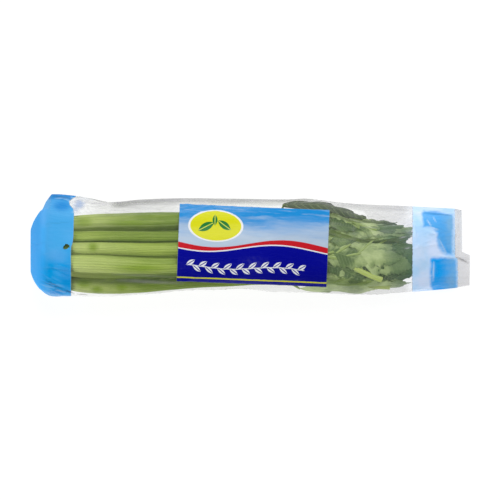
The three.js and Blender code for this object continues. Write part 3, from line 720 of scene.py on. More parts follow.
# Outlines of the print, in pixels of the frame.
LEFT_PRINT = [(0, 150), (76, 150), (76, 196.6), (72, 199), (69.2, 201.4), (69.8, 205), (73, 208.6), (74, 213),
              (73.4, 237), (72.6, 243), (71.2, 247), (70.9, 252), (71.2, 340), (0, 340)]
END_PRINT = [(413, 150), (454.6, 150), (455, 257), (457.6, 259), (458, 340), (412, 340)]
DEEP_PRINTS = [
    [(424, 211), (453, 213.5), (454, 257), (446, 255), (440, 247), (438, 240), (437, 233), (431, 228),
     (421, 229)],
    [(431, 259), (457, 258), (457.4, 296), (433, 296), (431, 275), (430, 268)],
]
LABEL_CORNERS = [(180, 204), (329, 210), (327, 287), (176.5, 281)]
WET_STRIP = [(298, 206.5), (361, 216.5)]  # here the far pressed leaflet wets the film, which stays clear
VENT_HOLE = (66.3, 246.6)
VENT_RADIUS = 3.1
RIM_REACH = 0.95  # points this near to the vent hole's rim are drawn onto it
FILM_LOWEST = 0.05

# Folds pressed into the upper film, in pixels of the frame: from, to, half width and height in
# millimetres, and how much painted sheen the fold carries: grey-white that stands for its glints and shade.
FOLD_REACH = 1.5  # a fold's slopes run on to this many half widths
FOLDS = [
    ((110, 204), (84, 196), 1.6, 1.0, 0.9), ((110, 204), (80, 202), 1.5, -0.8, 0.7),
    ((110, 204), (92, 207), 1.4, 0.7, 0.5), ((110, 204), (146, 199), 1.6, 1.0, 0.8),
    ((112, 205), (176, 204), 1.8, 0.8, 0.6), ((114, 206), (160, 209), 1.6, -0.7, 0.5),
    ((84, 196), (72, 199), 2.0, 1.0, 0.9), ((76, 209), (90, 200), 2.4, 1.0, 0.8),
    ((33, 268), (72, 289), 1.2, 0.9, 0.0), ((35, 275), (68, 293), 1.1, 0.8, 0.0),
    ((48, 268), (73, 279), 1.2, -0.7, 0.0), ((41, 283), (62, 295), 1.2, 0.8, 0.0),
    ((52, 262), (72, 270), 1.3, 0.6, 0.0), ((56, 196), (72, 201), 2.2, 1.0, 0.0),
    ((31, 243), (46, 245), 1.8, -0.9, 0.0), ((118, 280), (182, 283), 2.4, 0.9, 0.55),
    ((112, 274), (178, 277), 1.8, 0.7, 0.35), ((74, 290), (110, 294), 1.8, 0.8, 0.4),
    ((457, 257), (468, 263), 1.3, 1.2, 1.0), ((440, 256), (458, 258), 1.4, 1.0, 0.5),
    ((438, 240), (448, 256), 1.6, 1.2, 0.7), ((424, 230), (438, 236), 1.8, 1.0, 0.4),
    ((434, 262), (436, 276), 1.6, 1.1, 0.5), ((412, 212), (416, 240), 1.8, 1.1, 0.5),
    ((331, 202), (366, 206), 1.8, 0.8, 0.6), ((366, 207), (412, 211), 2.0, 0.9, 0.6),
]

# Families of thin creases all over the film: seed, direction in degrees, how far each runs and how far
# apart they are in millimetres, width, height, and how much painted sheen they carry: grey-white that
# stands for the creases' glints and shade.
CREASES = [
    (11, 2, 60, 8, 0.17, 0.75, 0.5), (23, -14, 42, 7, 0.16, 0.6, 0.55), (37, 21, 34, 6, 0.16, 0.5, 0.5),
    (53, 64, 20, 6, 0.13, 0.35, 0.35), (71, -48, 17, 5, 0.13, 0.3, 0.35),
]
FLUTE_HEIGHT, WAVE_HEIGHT = 0.7, 1.3  # of the gathers towards the mouth, and of the waves along the fins


def film_section(along):
    """Points round the film at one distance along it: over the top from the far fin, and back underneath."""
    side, height = float(axis_side(along)), float(axis_height(along))
    half_width = float(film_radius(along) * width_scale(along))
    half_height = float(film_radius(along) * height_scale(along))
    fins = []
    for fin in (far_fin, near_fin):
        point = (float(fin(along)), float(fin_height(along)))
        edge = ((point[0] - side) / half_width, (point[1] - height) / half_height)
        distance = math.hypot(*edge)
        tangent = math.acos(1 / distance) if distance > 1 else 0
        fins.append((point, distance > 1, math.atan2(edge[1], edge[0]) % (2 * math.pi), tangent))

    def run(first, second, start, end):
        turn = np.linspace(start, end, ARC_POINTS)
        path = np.stack([side + half_width * np.cos(turn), height + half_height * np.sin(turn)], axis=-1)
        if first[1]:
            path = np.vstack([[first[0]], path])
        if second[1]:
            path = np.vstack([path, [second[0]]])
        walked = np.concatenate([[0], np.cumsum(np.linalg.norm(np.diff(path, axis=0), axis=1))])
        stops = np.linspace(0, walked[-1], FILM_HALF + 1)[:-1]
        placed = np.stack([np.interp(stops, walked, path[:, k]) for k in (0, 1)], axis=-1)
        return placed, stops - walked[-1] / 2

    far, near = fins
    far_angle = far[2] - 2 * math.pi if far[2] > math.pi else far[2]
    over, over_walk = run(far, near, far_angle + far[3], near[2] - near[3])
    under, under_walk = run(near, far, near[2] + near[3], 2 * math.pi + far_angle - far[3])
    points = np.vstack([over, under])
    lip = MOUTH_STEP * smooth_step(points[:, 0], MOUTH_STEP_Y, MOUTH_STEP_Y + MOUTH_STEP_WIDTH)
    lip = lip * smooth_step(along, BAG_MOUTH - 16, BAG_MOUTH)
    return np.column_stack([BUTT_X + along - lip, points]), np.concatenate([over_walk, under_walk])


def inside_by(points, corners):
    """How far points lie inside an outline, in millimetres; below 0 outside."""
    nearest = np.full(points.shape[:-1], np.inf)
    inside = np.zeros(points.shape[:-1], bool)
    for (ax, ay), (bx, by) in zip(corners, np.roll(corners, -1, axis=0)):
        nearest = np.minimum(nearest, from_line(points, (ax, ay), (bx, by))[0])
        spans = (ay > points[..., 1]) != (by > points[..., 1])
        with np.errstate(divide="ignore", invalid="ignore"):
            crossing = (bx - ax) * (points[..., 1] - ay) / (by - ay) + ax
        inside ^= spans & (points[..., 0] < crossing)
    return np.where(inside, nearest, -nearest)


def crease_lines(along, walk, seed, turn, long, short, width):
    """Thin ridges, 1 on their crest, that wander in one direction over the film and fade in and out."""
    turn = math.radians(turn)
    down = (along * math.cos(turn) + walk * math.sin(turn)) / long
    across = (walk * math.cos(turn) - along * math.sin(turn)) / short
    line = np.clip(1 - np.abs(drift(down, across, seed, 2)) / width, 0, 1)
    return line**1.5 * smooth_step(drift(down * 0.9 + 7, across * 0.35, seed + 40, 2), -0.12, 0.35)


def film_piece(material):
    end_stations = np.linspace(BAG_END, 4, END_RINGS, endpoint=False)
    stations = np.concatenate([end_stations, np.linspace(4, BAG_MOUTH, FILM_RINGS - END_RINGS)])
    made = [film_section(at) for at in stations]
    points = np.array([section for section, walk in made])
    walk = np.array([walk for section, walk in made])
    along = np.broadcast_to(stations[:, None], walk.shape)
    upper = np.broadcast_to(np.arange(2 * FILM_HALF) < FILM_HALF, walk.shape).astype(float)
    flat = as_seen(points)
    normals = normals_of(points, closed=True)
    normals *= np.sign((normals[..., 2] * (upper * 2 - 1)).sum())
    fin_share = np.abs(((np.arange(2 * FILM_HALF) % FILM_HALF) / FILM_HALF) * 2 - 1)
    off_fin = 1 - smooth_step(fin_share, 0.86, 1.0)[None, :]
    east, north = flat[..., 0], flat[..., 1]
    far_side = north > axis_side(along)

    # How loosely the film lies: it is tight over the stalks and slack at its margins and over the leaves.
    off_middle = np.abs(north - axis_side(along)) / (film_radius(along) * width_scale(along))
    loose = np.maximum(smooth_step(off_middle, 0.84, 0.98), 0.8 * smooth_step(along, 272, 310))
    calm = 0.35 + 0.65 * smooth_step(along, 18, 50)  # the printed end is pulled smooth
    calm = calm * (0.45 + 0.55 * loose)
    # Painted sheen at the fins, where the film turns over: grey edges, strongest on the far side, that stand
    # for its reflection there.
    edge = smooth_step(fin_share, 0.8, 0.95) * np.where(far_side, 1.0, 0.3)
    edge = edge * (1 - 0.75 * smooth_step(east, 60, 90))
    edge = edge * (0.75 + 0.5 * drift(along / 60, walk / 4, 211)) * smooth_step(east, -152, -138)

    seed = np.where(upper > 0.5, 0, 300)
    ridges = [(crease_lines(along, walk, first + seed, turn, long, short, width), height, sheen)
              for first, turn, long, short, width, height, sheen in CREASES]
    lift = sum(line * height for line, height, sheen in ridges) * calm
    # Painted sheen: the creases turn grey-white, more where the film is slack and on the far side, for their
    # glints and shade.
    painted_sheen = np.max([line * sheen for line, height, sheen in ridges], axis=0) * (0.08 + 0.32 * loose)
    painted_sheen = np.maximum(painted_sheen * np.where(far_side, 1.0, 0.4), np.clip(edge, 0, 1))
    lift = lift + 0.55 * drift(along / 30, walk / 14, 5 + seed) * calm
    lift = lift + smooth_step(along, 372, 430) * FLUTE_HEIGHT * drift(along / 90, walk / 13, 91 + seed, 2)
    for start, end, width, height, sheen in FOLDS:
        distance, share = from_line(flat, from_pixels(start), from_pixels(end))
        fade = np.sin(math.pi * np.clip(share, 0.06, 0.94)) ** 0.5 * upper
        lift = lift + height * np.clip(1 - distance / (FOLD_REACH * width), 0, 1) ** 1.4 * fade
        painted_sheen = np.maximum(painted_sheen, sheen * np.clip(1 - distance / width, 0, 1) * fade)
    room = smooth_step(along, BAG_END, BAG_END + 8)
    points = points + normals * (lift * off_fin * room)[..., None]
    wave = drift(along / 22, np.where(north > 0, 3.0, 8.0), 17, 2)
    points[..., 2] += WAVE_HEIGHT * wave * (1 - off_fin) * room
    points[..., 2] = np.maximum(points[..., 2], FILM_LOWEST)

    dry = smooth_step(from_line(flat, *from_pixels(WET_STRIP))[0], 4.5, 7.5)
    painted_sheen = painted_sheen * (0.25 + 0.75 * dry)
    near_mouth = 0.12 * smooth_step(east, 60, 100) * smooth_step(off_middle, 0.7, 0.9) * dry
    near_mouth = near_mouth * (1 - smooth_step(east, 160, 170)) + 0.36 * smooth_step(east, 205, 215) * upper
    far_margin = 0.1 * smooth_step(off_middle, 0.8, 0.95) * (north > 0) * smooth_step(east, -176, -150)
    veil = near_mouth + far_margin * (1 - smooth_step(east, -90, -60))

    corners = from_pixels(LABEL_CORNERS)
    centre = corners.mean(axis=0)
    right = corners[1] + corners[2] - corners[0] - corners[3]
    right /= np.linalg.norm(right)
    from_centre = flat - centre
    values = dict(upper=upper, painted_sheen=painted_sheen, loose=loose, veil=veil)
    values.update((name, spots(flat, listed) * upper) for name, listed in FILM_SPOTS.items())
    values.update((name, strokes(flat, listed) * upper) for name, listed in FILM_STROKES.items())
    values.update(
        left_print=inside_by(flat, from_pixels(LEFT_PRINT)),
        end_print=inside_by(flat, from_pixels(END_PRINT)),
        deep_print=np.maximum(*[inside_by(flat, from_pixels(outline)) for outline in DEEP_PRINTS]),
        label_x=from_centre @ right,
        label_y=from_centre @ np.array([-right[1], right[0]]),
        sheet_x=east,
        sheet_y=walk,
    )

    # The vent hole: the points near its rim are drawn onto it, and the faces inside it are left out.
    radial = flat - from_pixels(VENT_HOLE)
    distance = np.linalg.norm(radial, axis=-1)
    bearing = np.arctan2(radial[..., 1], radial[..., 0])
    rim = VENT_RADIUS * (1 + 0.16 * np.sin(2 * bearing + 0.9) + 0.1 * np.sin(3 * bearing + 2.2))
    near_rim = (upper > 0.5) & (np.abs(distance - rim) < RIM_REACH)
    points[..., :2] += radial * ((rim / np.maximum(distance, 1e-6) - 1) * near_rim)[..., None]
    reached = (np.where(near_rim, rim, distance) - rim).ravel()
    faces = grid_faces(FILM_RINGS, 2 * FILM_HALF, closed=True)
    in_hole = (reached[faces].mean(axis=1) < -0.05) & (upper.ravel()[faces].min(axis=1) > 0.5)
    faces = faces[~in_hole]

    # The sealed end: its upper and lower edges are joined.
    seam = [[k, 2 * FILM_HALF - k, 2 * FILM_HALF - k - 1, k + 1] for k in range(1, FILM_HALF - 1)]
    seam += [[0, 2 * FILM_HALF - 1, 1], [FILM_HALF - 1, FILM_HALF + 1, FILM_HALF]]
    skin = Skin()
    skin.add(points, faces[:, ::-1], **values)
    skin.faces.extend(seam)
    return skin.piece("printed_film", material, "bag_film", "film_bag")


# ---- Ways to write a surface's numbers and colours as nodes ----


class Field:
    """A number that changes over a surface. Sums written with it become Math nodes."""

    def __init__(self, board, socket):
        self.board, self.socket = board, socket

    def math(self, operation, *others):
        return self.board.field("Math", enumerate((self, *others)), operation=operation)

    __add__ = __radd__ = partialmethod(math, "ADD")
    __sub__ = partialmethod(math, "SUBTRACT")
    __mul__ = __rmul__ = partialmethod(math, "MULTIPLY")
    __pow__ = partialmethod(math, "POWER")
    __abs__ = partialmethod(math, "ABSOLUTE")
    least = partialmethod(math, "MINIMUM")
    most = partialmethod(math, "MAXIMUM")
    sine = partialmethod(math, "SINE")
    cosine = partialmethod(math, "COSINE")

    def __rsub__(self, other):
        return self * -1 + other

    def repeat(self, length):
        """Runs from minus half to half of length, over and over."""
        return self.math("WRAP", length / 2, -length / 2)

    def step(self, low, high, first=0.0, last=1.0):
        """Eases from first to last as the number goes from low to high."""
        values = enumerate((self, low, high, first, last))
        return self.board.field("MapRange", values, interpolation_type="SMOOTHSTEP")


def linear(*screen):
    """A colour from its screen values, 0 to 255."""
    return tuple(((c / 255 + 0.055) / 1.055) ** 2.4 if c > 10 else c / 255 / 12.92 for c in screen) + (1,)


class Board:
    """A node tree, with short ways to add to it."""

    def __init__(self, tree):
        self.tree = tree

    def feed(self, socket, value):
        value = getattr(value, "socket", value)
        if isinstance(value, bpy.types.NodeSocket):
            self.tree.links.new(value, socket)
        else:
            socket.default_value = value

    def node(self, kind, inputs=(), **settings):
        """Adds a node, sets it up and feeds its inputs, which are given by name or number."""
        made = self.tree.nodes.new("ShaderNode" + kind)
        for name, value in settings.items():
            setattr(made, name, value)
        for key, value in dict(inputs).items():
            self.feed(made.inputs[key], value)
        return made

    def field(self, kind, inputs=(), output=0, **settings):
        """One output of a new node."""
        return Field(self, self.node(kind, inputs, **settings).outputs[output])

    def painted(self, *names):
        """The values that are painted on the mesh under these names."""
        return [self.field("Attribute", output="Fac", attribute_name=name) for name in names]

    def place(self):
        """The point on the object, in metres."""
        return self.field("TexCoord", output="Object")

    def parts(self, vector):
        """X, Y and Z of a vector."""
        return [Field(self, socket) for socket in self.node("SeparateXYZ", {0: vector}).outputs]

    def vector(self, x, y, z=0.0):
        return self.field("CombineXYZ", enumerate((x, y, z)))

    def grain(self, at, scale, detail=3.0, roughness=0.5):
        return self.field("TexNoise", dict(Vector=at, Scale=scale, Detail=detail, Roughness=roughness), "Fac")

    def cells(self, at, feature="F1"):
        return self.field("TexVoronoi", dict(Vector=at, Scale=1.0), "Distance", feature=feature)

    def mix(self, share, first, second):
        """A colour between two others. Those of three numbers are screen values."""
        first, second = (linear(*c) if isinstance(c, tuple) and len(c) == 3 else c for c in (first, second))
        return self.field("Mix", {0: share, 6: first, 7: second}, 2, data_type="RGBA")

    def coats(self, colour, *layers):
        """Lays colours over the first. Each layer is how strongly it shows, and its colour."""
        for share, over in layers:
            colour = self.mix(share, colour, over)
        return colour

    def between(self, share, first, second):
        """A number between two others."""
        return self.field("Mix", {0: share, 2: first, 3: second}, data_type="FLOAT")

    def group(self, tree, **inputs):
        """Places a shared group and gives back its outputs in their order."""
        inputs = {name.replace("_", " "): value for name, value in inputs.items()}
        return [Field(self, socket) for socket in self.node("Group", inputs, node_tree=tree).outputs]


def shared_group(name, inputs, outputs, fill):
    """A node group whose outputs are what fill makes of its inputs. Inputs are (name, kind) pairs."""
    tree = bpy.data.node_groups.new(name, "ShaderNodeTree")
    for label, kind in inputs:
        tree.interface.new_socket(name=label, in_out="INPUT", socket_type="NodeSocket" + kind)
    for label in outputs:
        tree.interface.new_socket(name=label, in_out="OUTPUT", socket_type="NodeSocketFloat")
    board = Board(tree)
    source, sink = tree.nodes.new("NodeGroupInput"), tree.nodes.new("NodeGroupOutput")
    results = fill(board, *[Field(board, source.outputs[label]) for label, kind in inputs])
    for label, value in zip(outputs, results):
        board.feed(sink.inputs[label], value)
    return tree


def fibre_lines(board, across, along, ribs, wander):
    """Grooves between ribs, and the fine strings that run along a stalk."""
    wave = board.grain(board.vector(across * 1.5, along * 0.01), wander, 1.0) * 0.1
    groove = 1 - abs(((across + wave + 1) * ribs * (math.pi / 2)).sine())
    strings = board.grain(board.vector(across * 4.5, along * 0.012), 1.0, 3.0, 0.6)
    fine = board.grain(board.vector(across * 60, along * 0.05), 1.0, 2.0, 0.6)
    return groove**3, strings, fine


def mottled(board, at, size, softness):
    """Cloudy patches from 0 to 1, about size millimetres across."""
    return [board.grain(at, 1000 * size**-1, 3.0, softness).step(0.32, 0.68)]


def speckled(board, at, size, amount):
    """Small round spots. Amount is the share of them that show."""
    cell = board.node("TexVoronoi", dict(Vector=at, Scale=1000 * size**-1), feature="F1")
    kept = board.field("SeparateColor", {0: cell.outputs["Color"]})
    near = Field(board, cell.outputs["Distance"]).step(0.34, 0.16)
    return [near * (kept - amount).step(0.01, -0.01)]


def leaf_shape(board, x, y, centre_x, centre_y, turn, length, width):
    """A pointed leaf drawn flat: how surely a point is inside it, and on its midrib."""
    dx, dy = x - centre_x, y - centre_y
    cosine, sine = turn.cosine(), turn.sine()
    down, across = dx * cosine + dy * sine, dy * cosine - dx * sine
    share = down * (length * 0.5)**-1
    edge = width * 0.5 * (1 - share * share) - abs(across)
    return edge.step(-0.15, 0.2), abs(across).step(0.55, 0.3) * edge.step(0.1, 0.5)


def floats(*labels):
    return [(label, "Float") for label in labels]


FIBRES = shared_group(
    "plant strings", floats("Across", "Along", "Ribs", "Wander"), ["Groove", "Strings", "Fine"], fibre_lines)
MOTTLE = shared_group("cloudy patches", [("At", "Vector"), *floats("Size", "Softness")], ["Patch"], mottled)
SPECKS = shared_group("small spots", [("At", "Vector"), *floats("Size", "Amount")], ["Spot"], speckled)
LEAF_SHAPE = shared_group(
    "leaf shape", floats("X", "Y", "Centre X", "Centre Y", "Turn", "Length", "Width"),
    ["Inside", "Midrib"], leaf_shape)


class Finish(Board):
    """A material: its board and its shader. Constants are set on the shader's own sockets."""

    def __init__(self, name, **constants):
        self.material = bpy.data.materials.new(name)
        self.material.use_nodes = True
        super().__init__(self.material.node_tree)
        self.shader = next(node for node in self.tree.nodes if node.type == "BSDF_PRINCIPLED")
        for label, value in constants.items():
            self.shader.inputs[label.replace("_", " ")].default_value = value

    def wear(self, colour, roughness, height, depth, distance, painted_glow=0.0, painted_glow_colour=None, alpha=None):
        """Height, depth and distance make the bump. Painted glow is emission, painted light that lifts shade,
        standing for light through film and moist flesh.
        """
        bump = self.node("Bump", dict(Strength=depth, Distance=distance, Height=height)).outputs[0]
        surface = {"Base Color": colour, "Roughness": roughness, "Normal": bump}
        if painted_glow:
            surface.update({"Emission Color": painted_glow_colour or colour, "Emission Strength": painted_glow})
        if alpha:
            surface["Alpha"] = alpha
        for label, value in surface.items():
            self.feed(self.shader.inputs[label], value)
        return self.material


# ---- The finishes ----


def stalk_finish(name, pale, green, deep, shadow, ribs, white_until, painted_glow):
    """Ribbed stalk skin, pale at the butt and greener towards the leaves, with moist cut ends."""
    board = Finish(name, IOR=1.42, Specular_IOR_Level=0.3)
    along, across, cut, back, tint, fresh = board.painted("along", "across", "cut", "back", "tint", "fresh")
    at = board.place()
    groove, strings, fine = board.group(FIBRES, Across=across, Along=along, Ribs=ribs, Wander=3.0)
    patch, = board.group(MOTTLE, At=at, Size=38.0, Softness=0.5)
    spot, = board.group(SPECKS, At=at, Size=2.6, Amount=0.1)
    blush = along.step(white_until * 0.2, white_until, 1.0, 0.0)
    green_share = along.step(30, 210, 0.2, 0.5) + tint * along.step(30, 85, 0.2, 0.5)
    green_share = green_share + (patch - 0.5) * 0.3 + (strings - 0.5) * 1.6
    dots = board.cells(board.vector(across * 14, back * 1.2 + 9)).step(0.3, 0.12)
    flesh = board.coats(
        (214, 222, 160),
        (dots * back.step(-0.4, 0.4) * 0.55, (120, 150, 60)),
        (along.step(26, 2) * 0.6, (176, 142, 92)))
    colour = board.coats(
        green,
        (green_share.step(0.0, 1.0), deep),
        # Painted shade: the stalk of the highest tint, which lies deeper, keeps little of the pale butt.
        (blush * tint.step(1.15, 1.3, 0.75, 0.1), pale),
        (fresh * 0.85, (128, 160, 4)),
        # Painted shade darkens each stalk's long edges, where it meets the next.
        (abs(across).step(0.68, 1.0) * (tint * 0.35 + 0.28), shadow),
        (groove * back.step(0.2, 0.9) * 0.4, deep),
        ((fine - 0.5).step(0.02, 0.2) * 0.25, pale),
        (back.step(-0.2, -0.9) * 0.5, pale),
        (spot * 0.3, deep),
        (cut, flesh))
    roughness = (strings * 0.22 + patch * 0.08 + 0.26) - cut * 0.08
    return board.wear(colour, roughness, strings * 0.6 + fine * 0.35 - groove * 0.5, 0.45, 0.0004, painted_glow)


def root_finish():
    """The root plate: cream and tan, browned where the knife and the soil have been."""
    board = Finish("root plate", IOR=1.4)
    ring, cut, along = board.painted("ring_place", "cut", "along")
    at = board.place()
    patch, = board.group(MOTTLE, At=at, Size=9.0, Softness=0.65)
    fine, = board.group(MOTTLE, At=at, Size=1.8, Softness=0.7)
    spot, = board.group(SPECKS, At=at, Size=2.2, Amount=0.35)
    rings = ((ring * 34 + patch * 2.5).sine() * 0.5 + 0.5) * cut
    face = board.coats((206, 190, 140), (ring.step(0.2, 0.95), (158, 120, 74)), (rings * 0.3, (132, 96, 58)))
    colour = board.coats(
        (196, 176, 128),
        (along.step(0, 16), (214, 214, 160)),
        (patch * 0.4, (150, 120, 76)),
        (cut, face),
        (spot * 0.5, (112, 78, 46)))
    return board.wear(colour, fine * 0.2 + 0.58, patch + fine * 0.5 + rings * 0.4, 0.5, 0.0006)


def leaf_finish(name, deep, green, pale, vein, stem, tip):
    """Leaflets with pale veins and duller undersides, and their grooved green stems."""
    board = Finish(name, IOR=1.45, Specular_IOR_Level=0.4)
    rib, reach, off_midrib, under, stem_share, cut, shade = board.painted(
        "rib_place", "reach", "off_midrib", "under", "stem", "cut", "shade")
    at = board.place()
    x, y, _ = board.parts(at)
    outermost = (x + y * 0.25).step(0.13, 0.148)
    patch, = board.group(MOTTLE, At=at, Size=20.0, Softness=0.5)
    fine, = board.group(MOTTLE, At=at, Size=1.6, Softness=0.6)
    spot, = board.group(SPECKS, At=at, Size=3.2, Amount=0.08)
    side = abs(reach)
    side_vein = 0.5 - abs((rib * TEETH + fine * 0.12 + 0.5).repeat(1.0))
    side_vein = (side_vein + side * 0.09).step(0.37, 0.5) * side.step(1.0, 0.3, 0.25, 1.0)
    veins = side_vein.most(off_midrib.step(0.85, 0.25))
    net = board.cells(board.vector(rib * 70, reach * 16), "DISTANCE_TO_EDGE").step(0.12, 0.0)
    fold = board.grain(board.vector(rib * 2.2, reach * 1.6, shade * 9), 1.0, 2.0).step(0.52, 0.68)
    groove, strings, _ = board.group(FIBRES, Across=reach, Along=rib * 200, Ribs=3.0, Wander=2.0)
    stalky = board.coats(
        board.mix(0.75, stem, green),
        (shade.step(0.4, 1.0), stem),
        (strings.step(0.3, 0.7) * (shade * 0.35 + 0.2), pale),
        (groove * 0.25, deep),
        (cut * 0.85, (214, 224, 120)))
    colour = board.coats(
        deep,
        ((patch * 0.7 + shade * 0.9 - 0.3).step(0.0, 1.0), green),
        ((patch * 0.6 + shade).step(0.6, 1.45) * 0.85, pale),
        # Painted shade: darker streaks of deep green over each leaflet stand for the shade in its folds.
        (fold * 0.5, deep),
        # Painted shade: the darkest leaflets, chiefly the far pressed one, go near black, most toward their
        # edges.
        (shade.step(0.06, 0.0) * (side.step(0.5, 0.95) * 0.3 + 0.65), (22, 36, 16)),
        (under * 0.55, pale),
        (net * 0.08, vein),
        (veins * 0.17, vein),
        (spot * 0.25, (160, 165, 80)),
        (outermost * (patch * 0.4 + 0.5), tip),
        (stem_share, stalky))
    roughness = patch * 0.12 + under * 0.18 + 0.34
    height = net * -0.2 - veins * 0.25 * (1 - under * 2) + fine * 0.3
    # Painted glow: a little emission lifts the shade among the leaves.
    return board.wear(colour, roughness, height * (1 - stem_share) + strings * stem_share, 0.5, 0.0004, 0.22)


WHITE, YELLOW = (240, 242, 248), (226, 226, 30)
DISC_LEAVES = [(-50, 18, 0.5, 19), (-31, 20, 2.55, 17), (-41, 25, 1.6, 12)]  # centre, turn and length
GARLAND = [(0, 0.62, 2.6, 65), (6.5, -0.62, -2.6, 58.5)]  # shift along, turn, lift and half its run
GARLAND_GAP = 13
GARLAND_Y = 24
BAND_Y = 36.2


def label_print(board, x, y):
    """The label's plain pattern: sky, a navy hill with a red edge, a yellow disc of leaves, white leaves."""
    cloud = board.grain(board.vector(x * 0.014, y * 0.075), 1.0, 4.0, 0.6)
    wisps = board.grain(board.vector(x * 0.03 + 7, y * 0.22), 1.0, 3.0, 0.6)
    above = y - ((x * 0.041 + 0.5).sine() * 4.6 - 3.5)
    under_hill = above.step(0.35, -0.35)
    ribbon = above - 5.2 + (x * 0.041 + 2.2).sine() * 1.6
    disc_x, disc_y = (x + 40) * (1 / 27), (y - 19) * (1 / 15.5)
    disc = (disc_x * disc_x + disc_y * disc_y)**0.5
    colour = board.coats(
        (190, 208, 228),
        ((y + cloud * 34 - 30).step(-8, 20), (28, 146, 222)),
        (wisps.step(0.5, 0.72) * 0.5, (176, 203, 232)),
        (under_hill, (8, 12, 152)),
        ((1 - (y + 41).step(0, 26)) * under_hill * 0.35, (4, 8, 120)),
        (above.step(0.4, 0.9) * ribbon.step(0.3, -0.3), (206, 32, 44)),
        (abs(above).step(0.8, 0.4), (240, 242, 246)),
        (disc.step(1.09, 1.06), (244, 246, 248)),
        (disc.step(1.005, 0.98), YELLOW))
    for centre_x, centre_y, turn, length in DISC_LEAVES:
        inside, midrib = board.group(LEAF_SHAPE, X=x, Y=y, Centre_X=centre_x, Centre_Y=centre_y, Turn=turn,
                                     Length=length, Width=length * 0.44)
        colour = board.coats(colour, (inside, (38, 128, 58)), (midrib, (216, 226, 90)))
    # The garland's leaves lean one way and the other in turn.
    sway = (x * 0.06).sine() * 1.8
    middle = abs(x + 6.5)
    for shift, turn, lift, half in GARLAND:
        inside, midrib = board.group(LEAF_SHAPE, X=(x + shift).repeat(GARLAND_GAP), Y=y - sway, Centre_X=0.0,
                                     Centre_Y=lift - GARLAND_Y, Turn=turn, Length=11.0, Width=4.6)
        kept = middle.step(half + 0.1, half - 0.1)
        colour = board.coats(colour, (inside * kept, WHITE), (midrib * kept, (30, 40, 150)))
    vine = abs(y + GARLAND_Y - sway).step(0.5, 0.25) * middle.step(62, 60)
    return board.coats(colour, (vine, WHITE), (abs(y + BAND_Y).step(0.9, 0.55) * 0.9, YELLOW))


CLEAR_ALPHA = 0.055
LABEL_HALF = (78.7, 40.45)


